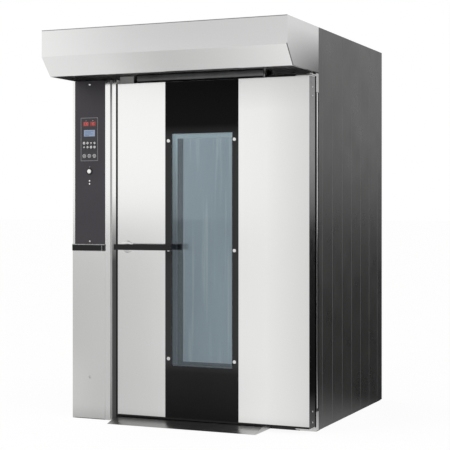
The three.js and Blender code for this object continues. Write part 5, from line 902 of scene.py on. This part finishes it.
pad_piece(rims, "keys_round_rims", FOIL_WHITE)
pad_piece(diamonds, "keys_round_marks", FOIL_WHITE)
pad_piece(cores, "keys_round_mark_centres", KEY_FOIL)

# %% [markdown]
# ## Button, lamps, lock and screws
# The push button is a domed white cap in a black collar, with a small mark over it. Under it are two
# white lamps. A turn-lock holds the lower panel, and domed screws hold the control sheet, the folds of
# the door's edge and the rear cover.

# %% Button, lamps, lock and screws
BUTTON_LOW, BUTTON_HIGH = in_mm(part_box("push_button"))
BUTTON_Z = (BUTTON_LOW.z + BUTTON_HIGH.z) / 2
COLLAR, COLLAR_THICK = 17.0, 2.6
rounded("push_button", 2.0, segments=4, angle=25)
collar = hoop((PAD_X, FACE_Y - COLLAR_THICK, BUTTON_Z), COLLAR, COLLAR_THICK, 64, 12)
finished(collar, "button_collar", "cabinet", RING_BLACK, 60)
MARK_Y = FACE_Y - 0.3, FACE_Y + 0.2
stem = (PAD_X - 1, PAD_X + 1), (BUTTON_Z + 21, BUTTON_Z + 28), MARK_Y
bar = (PAD_X - 4, PAD_X + 4), (BUTTON_Z + 27, BUTTON_Z + 29), MARK_Y
fitting("button_mark", "cabinet", "lamp_white", FOIL_GREY, stem, bar)
rounded("signal_lamps", 1.2, segments=3, angle=25)
rounded("panel_lock", 0.8, segments=2, angle=25)

DOOR_LOW, DOOR_HIGH = in_mm(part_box("door_casing"))
REAR_LOW, REAR_HIGH = in_mm(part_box("rear_cover"))
REAR_ROWS = 7
REAR_INSET_X, REAR_INSET_Z = 14, 25  # from the cover's edges to its screws
REAR_STEP = (REAR_HIGH.z - REAR_LOW.z - 2 * REAR_INSET_Z) / (REAR_ROWS - 1)
PANEL_SCREW_X, PANEL_SCREWS = -641, ((2015, 7.5), (1070, 5.5))  # height and radius of each
DOOR_BOLT_Y, DOOR_BOLTS = -483, (62, 124, 1900, 1950)
SCREWS = {
    "control_panel_screws": (
        "cabinet",
        [screw((PANEL_SCREW_X, FACE_Y, z), radius) for z, radius in PANEL_SCREWS],
    ),
    "door_edge_bolts": (
        "door",
        [screw((DOOR_HIGH.x, DOOR_BOLT_Y, z), aim="right") for z in DOOR_BOLTS],
    ),
    "rear_cover_screws": (
        "cabinet",
        [
            screw((x, REAR_HIGH.y, REAR_LOW.z + REAR_INSET_Z + row * REAR_STEP), aim="rear")
            for x in (REAR_LOW.x + REAR_INSET_X, REAR_HIGH.x - REAR_INSET_X)
            for row in range(REAR_ROWS)
        ],
    ),
}
print("screws:", {name: len(heads) for name, (body, heads) in SCREWS.items()})
for name, (body, heads) in SCREWS.items():
    finished(joined(heads), name, body, POLISHED)

# %% [markdown]
# ## Joints between the sheets
# A narrow pale cover closes the joint between the column and the strike post. The gap between the post
# and the door is lined with a black rubber lip, which reaches over the post's edge as painted shade, and
# black strips along the door's foot and up its left edge are painted shade in the gaps there. A drip
# gutter hangs over the doorway, blackened in front and with a bright cap on its right end. The divider
# has a pale edge along its top and a pale upright joint near its right end, and a bright angle runs
# down the cabinet's front corner.

# %% Joint covers and trims
COLUMN_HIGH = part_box("column_casing")[1] / MM
POST_LOW, POST_HIGH = in_mm(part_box("strike_post"))
DIVIDER_LOW, DIVIDER_HIGH = in_mm(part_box("divider_strip"))
FRAME_LOW, FRAME_HIGH = in_mm(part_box("front_frame"))
GUTTER_X = -366, 460.2  # ends of the drip gutter over the doorway
GUTTER_Z = 2020, 2070
GUTTER_CAP_Z = 2015, 2072
DOOR_GAP_Y = DOOR_LOW.y - 3.6, DOOR_LOW.y - 2.4  # the black strips of painted gap shade stand on the door's face here
SHADE_STRIP_HEIGHT = 11
DIVIDER_JOINT_X = -556.5
DIVIDER_EDGE_Z = 1048  # the pale edge starts at this height
DIVIDER_Y = DIVIDER_LOW.y - 0.5, DIVIDER_LOW.y + 0.5
CORNER_Y, CORNER_Z = (-411, -393), (130, 1925)

COVER_Y = POST_LOW.y + 2, POST_LOW.y + 4
cover = (COLUMN_HIGH.x + 0.2, POST_LOW.x - 0.2), (POST_LOW.z, COLUMN_HIGH.z), COVER_Y
fitting("column_joint_cover", "cabinet", "stainless_sheet", JOINT_STEEL, (*cover, 0.3))
# The lip lines the gap and reaches over the post's edge as painted shade.
LIP_Y = POST_LOW.y - 7, POST_LOW.y - 0.2
lip = (POST_HIGH.x - 1.5, POST_HIGH.x + 6), (POST_LOW.z, COLUMN_HIGH.z - 26), LIP_Y
fitting("strike_post_lip_and_shade", "cabinet", "seal_rubber", RUBBER_BLACK_AND_GAP_SHADE, (*lip, 0.8))
trough = (GUTTER_X[0], GUTTER_X[1] - 1), GUTTER_Z, (FRAME_LOW.y - 24, FRAME_LOW.y - 1)
fitting("gutter_front", "cabinet", "galvanised_steel", GUTTER_STEEL, (*trough, 11, 4))
# A black strip along the door's foot: painted shade in the gap under the door.
foot_shade_strip = (DOOR_LOW.x, DOOR_HIGH.x), (DOOR_LOW.z, DOOR_LOW.z + SHADE_STRIP_HEIGHT), DOOR_GAP_Y
fitting("door_foot_shade_strip", "door", "seal_rubber", RUBBER_BLACK_AND_GAP_SHADE, (*foot_shade_strip, 0.3))
# A black strip up the door's left edge: painted shade in the gap beside the post.
edge = (DOOR_LOW.x, DOOR_LOW.x + 5), (DOOR_LOW.z + SHADE_STRIP_HEIGHT + 0.5, DOOR_HIGH.z - 2), DOOR_GAP_Y
fitting("door_edge_shade_strip", "door", "seal_rubber", RUBBER_BLACK_AND_GAP_SHADE, (*edge, 0.3))
pale_edge = (DIVIDER_LOW.x, DIVIDER_HIGH.x), (DIVIDER_EDGE_Z, DIVIDER_HIGH.z - 0.3), DIVIDER_Y, 0.2
pale_joint = (DIVIDER_JOINT_X - 1.2, DIVIDER_JOINT_X + 1.2), (DIVIDER_LOW.z, DIVIDER_EDGE_Z), DIVIDER_Y
fitting("divider_trims", "cabinet", "stainless_sheet", GALVANISED, pale_edge, pale_joint)
corner = (FRAME_HIGH.x - 0.1, FRAME_HIGH.x + 1.2), CORNER_Z, CORNER_Y
fitting("front_corner_angle", "cabinet", "stainless_sheet", POLISHED, (*corner, 0.3))
end_cap = (GUTTER_X[1], GUTTER_X[1] + 2.5), GUTTER_CAP_Z, (FRAME_LOW.y - 26, FRAME_LOW.y - 0.5)
fitting("gutter_end_cap", "cabinet", "galvanised_steel", POLISHED, (*end_cap, 0.6))
print("gutter from", GUTTER_X[0], "to", GUTTER_X[1], "divider joint at", DIVIDER_JOINT_X)

# %% [markdown]
# ## Inside the window
# Behind the outer glass a spacer frame lines the window's well, with a painted glow and painted shade
# in its colour. Its pale bead lies against the inner pane on the left and along the top, and a
# violet-grey rubber gasket holds the pane's edge.

# %% Window spacer and pane gasket
WELL_LOW, WELL_HIGH = WINDOW_LOW / MM, WINDOW_HIGH / MM
WELL_X, WELL_Z = (WELL_LOW.x, WELL_HIGH.x), (WELL_LOW.z, WELL_HIGH.z)
LEDGE_FRONT = PANE_LOW.y / MM - 1.8 - 0.3  # front of the ledge that the gasket lies on
BEAD_Y = LEDGE_FRONT - 1.5, LEDGE_FRONT - 0.3
GASKET_Y = LEDGE_FRONT - 1.4, LEDGE_FRONT - 0.3
SPACER_Y = GLASS_HIGH.y / MM + 0.4, LEDGE_FRONT - 1.6
SPACER_INSET, SPACER_WALL = 0.3, 1.2
BEAD_WIDE, BEAD_HIGH = 15, 26  # how far the bead reaches in from the left and from the top
GASKET_LEFT, GASKET_RIGHT, GASKET_FOOT = 50, 21, 22  # how far the gasket reaches in from each side

x0, x1 = WELL_X[0] + SPACER_INSET, WELL_X[1] - SPACER_INSET
z0, z1 = WELL_Z[0] + SPACER_INSET, WELL_Z[1] - SPACER_INSET
spacer = [
    ((x0, x0 + SPACER_WALL), (z0, z1), SPACER_Y, 0.2),
    ((x1 - SPACER_WALL, x1), (z0, z1), SPACER_Y, 0.2),
    ((x0 + SPACER_WALL, x1 - SPACER_WALL), (z0, z0 + SPACER_WALL), SPACER_Y, 0.2),
    ((x0 + SPACER_WALL, x1 - SPACER_WALL), (z1 - SPACER_WALL, z1), SPACER_Y, 0.2),
]
left, right = WELL_X[0] + BEAD_WIDE, WELL_X[1] - 2
foot, top = WELL_Z[0] + 2, WELL_Z[1] - BEAD_HIGH
bead = [
    ((WELL_X[0] + 1.8, left), (foot, WELL_Z[1] - 2), BEAD_Y, 0.2),
    ((left, right), (top, WELL_Z[1] - 2), BEAD_Y, 0.2),
]
fitting("window_spacer", "door", "galvanised_steel", SPACER_PAINTED_GLOW, *spacer, *bead)
gasket = [
    ((left, WELL_X[0] + GASKET_LEFT), (foot, top), GASKET_Y, 0.4),
    ((WELL_X[0] + GASKET_LEFT, right), (foot, WELL_Z[0] + GASKET_FOOT), GASKET_Y, 0.4),
    ((WELL_X[1] - GASKET_RIGHT, right), (WELL_Z[0] + GASKET_FOOT, top), GASKET_Y, 0.4),
]
fitting("pane_gasket", "door", "seal_rubber", GASKET_GREY, *gasket)
print("window well:", [round(x) for x in WELL_X], [round(z) for z in WELL_Z])

# %% [markdown]
# ## The studio
# Bare steel shows what it mirrors, so the room matters as much as the finish. The floor and the
# surround are white to the camera. In the steel's mirror image the floor has light grey bands and is
# dark behind the oven. The surround has a bright band at eye height with a softer grey above it, which
# varies a little round the room as screens and windows do. Two area lamps only light the paint, and
# are hidden from reflections so that no hot spot burns out the steel.

# %% Floor, world and lamps
FLOOR_REACH = 150.0
FLOOR_WHITE = 1.03  # the floor's strength to the camera
FLOOR_SHARE = 0.9  # the rest of the floor's colour is real light, with the oven's shadow
BACK_LIGHT = 0.04  # the floor in a mirror, behind the oven
FLOOR_FRONT = -4.0, -2.2  # from here to here the floor's far greys turn to its near greys
FLOOR_BEHIND = -1.0, 1.0  # and from here to here it falls to its dark grey behind the oven
# Bands of daylight lie on the floor, which only the steel mirrors. They fan out from this point behind
# the oven. It is the mirror image that the door's front gives of the photograph's camera: from there
# the bands' edges stand upright in the steel, as they do in the photograph. The bands belong to the
# floor and stay where they are when the camera moves. Each list gives a band's place across and its
# grey, far out and near the oven's foot.
BANDS_FROM = 3.106, 6.102, 1.2536
FAR_FLOOR = [(0.3, 0.86), (0.4, 0.83), (0.45, 0.6), (0.5, 0.53)]
NEAR_FLOOR = [(0.34, 0.86), (0.37, 0.82), (0.445, 0.6), (0.48, 0.54), (0.5, 0.6), (0.53, 0.88)]


def greys(tree, place, stops):
    """A ramp of greys through its stops, each given as (place, grey)."""
    return between(tree, place, *[(at, grey(level)) for at, level in stops])


def mix_shaders(tree, share, first, second):
    return add(tree, "MixShader", {0: share, 1: first.outputs[0], 2: second.outputs[0]})


def floor_finish():
    made, tree, out = new_material("floor pale")
    dust = pattern(tree, "TexNoise", 500, Detail=2.0).outputs["Fac"]
    lit = add(tree, "BsdfDiffuse", {"Color": two_tone(tree, dust, "DCDCDA", "E2E2E0")})
    white = add(tree, "Emission", {"Color": grey(1.0), "Strength": FLOOR_WHITE})
    place = add(tree, "TexCoord").outputs["Object"]
    depth = add(tree, "SeparateXYZ", {"Vector": place}).outputs["Y"]
    spread = add(tree, "VectorMath", {0: BANDS_FROM, 1: place}, operation="SUBTRACT")
    way = add(tree, "VectorMath", {0: spread.outputs[0]}, operation="NORMALIZE")
    aside = add(tree, "SeparateXYZ", {"Vector": way.outputs[0]}).outputs["X"]
    closeness = span(tree, depth, 0.0, 1.0, *FLOOR_FRONT)
    front = mix(tree, closeness, greys(tree, aside, FAR_FLOOR), greys(tree, aside, NEAR_FLOOR))
    floor_light = mix(tree, span(tree, depth, 0.0, 1.0, *FLOOR_BEHIND), front, grey(BACK_LIGHT))
    mirrored = add(tree, "Emission", {"Color": floor_light, "Strength": 1.0})
    path = add(tree, "LightPath").outputs
    seen = mix_shaders(tree, calc(tree, "MULTIPLY", path["Is Camera Ray"], FLOOR_SHARE), lit, white)
    both = mix_shaders(tree, path["Is Glossy Ray"], seen, mirrored)
    tree.links.new(both.outputs[0], out.inputs["Surface"])
    return made


# What steel mirrors of the room: before the oven from left to right, at eye level and higher up, and
# behind the oven from the horizon upwards
EYE_LEVEL = [(0.0, 1.0), (0.42, 1.0), (0.52, 0.95), (0.6, 0.9), (0.64, 0.8), (0.7, 0.92)]
OVERHEAD = [(0.15, 1.0), (0.22, 0.96), (0.4, 0.62), (0.6, 0.72), (0.68, 0.8)]
BEHIND = [(0.0, 0.34), (0.05, 0.6), (0.09, 0.62), (0.112, 0.38), (0.14, 0.85)]
LEFT_TO_RIGHT, EYE_TO_OVERHEAD, FRONT_TO_BEHIND = (-0.6, -0.2), (0.1, 0.125), (-0.3, 0.3)  # directions


def studio_world():
    world = bpy.data.worlds.new("studio")
    world.use_nodes = True
    tree = world.node_tree
    tree.nodes.clear()
    out = add(tree, "OutputWorld")
    way = add(tree, "SeparateXYZ", {"Vector": add(tree, "TexCoord").outputs["Generated"]}).outputs
    side = span(tree, way["X"], 0.0, 1.0, *LEFT_TO_RIGHT)
    rise = span(tree, way["Z"], 0.0, 1.0, *EYE_TO_OVERHEAD)
    turned = span(tree, way["Y"], 0.0, 1.0, *FRONT_TO_BEHIND)
    front = mix(tree, rise, greys(tree, side, EYE_LEVEL), greys(tree, side, OVERHEAD))
    room = mix(tree, turned, front, greys(tree, way["Z"], BEHIND))
    mirrored = add(tree, "Background", {"Color": room, "Strength": 1.0})
    plain = add(tree, "Background", {"Color": linear("F4F4F4"), "Strength": 0.9})
    white = add(tree, "Background", {"Color": grey(1.0), "Strength": 1.0})
    path = add(tree, "LightPath").outputs
    light = mix_shaders(tree, path["Is Glossy Ray"], plain, mirrored)
    both = mix_shaders(tree, path["Is Camera Ray"], light, white)
    tree.links.new(both.outputs[0], out.inputs["Surface"])
    bpy.context.scene.world = world


def soft_lamp(name, place, target, size, watts):
    data = bpy.data.lights.new(name, "AREA")
    data.shape = "RECTANGLE"
    data.size, data.size_y = size
    data.energy = watts
    lamp = bpy.data.objects.new(name, data)
    bpy.context.scene.collection.objects.link(lamp)
    lamp.location = place
    lamp.rotation_euler = (Vector(target) - Vector(place)).to_track_quat("-Z", "Y").to_euler()
    lamp.visible_glossy = False
    return lamp


bpy.ops.object.select_all(action="DESELECT")
bpy.ops.mesh.primitive_plane_add(size=2 * FLOOR_REACH, location=(0, 0, 0))
floor = bpy.context.object
floor.name = "floor"
dress(floor, floor_finish())
studio_world()
soft_lamp("lamp key", (-3.5, -5.5, 4.5), (0, 0, 1.0), (3.0, 3.0), 120)
soft_lamp("lamp fill", (4.5, -3.5, 3.0), (0, 0, 1.2), (2.5, 3.0), 60)

# %% [markdown]
# ## The camera
# The photograph was taken level, from the right and at about chest height, with a long lens: the
# uprights stay parallel. The oven stands a little below the middle of the frame, which a small shift
# of the lens gives, as a view camera does.

# %% Camera
CAMERA_AT = Vector((3.106, -7.182, 1.2536))
CAMERA_AZIMUTH = 23.3
FOCAL_FRAMES = 2.7958  # focal length in frame widths
HORIZON_SHIFT = -0.0316  # of the frame
SENSOR_MM = 36.0

camera_data = bpy.data.cameras.new("camera")
camera_data.sensor_width = SENSOR_MM
camera_data.lens = FOCAL_FRAMES * SENSOR_MM
camera_data.shift_y = HORIZON_SHIFT
camera = bpy.data.objects.new("camera", camera_data)
camera.location = CAMERA_AT
camera.rotation_euler = (math.radians(90), 0, math.radians(CAMERA_AZIMUTH))
bpy.context.scene.collection.objects.link(camera)
bpy.context.scene.camera = camera
bpy.context.scene.view_settings.view_transform = "Standard"
print("camera:", tuple(round(v, 3) for v in CAMERA_AT), "azimuth", CAMERA_AZIMUTH)
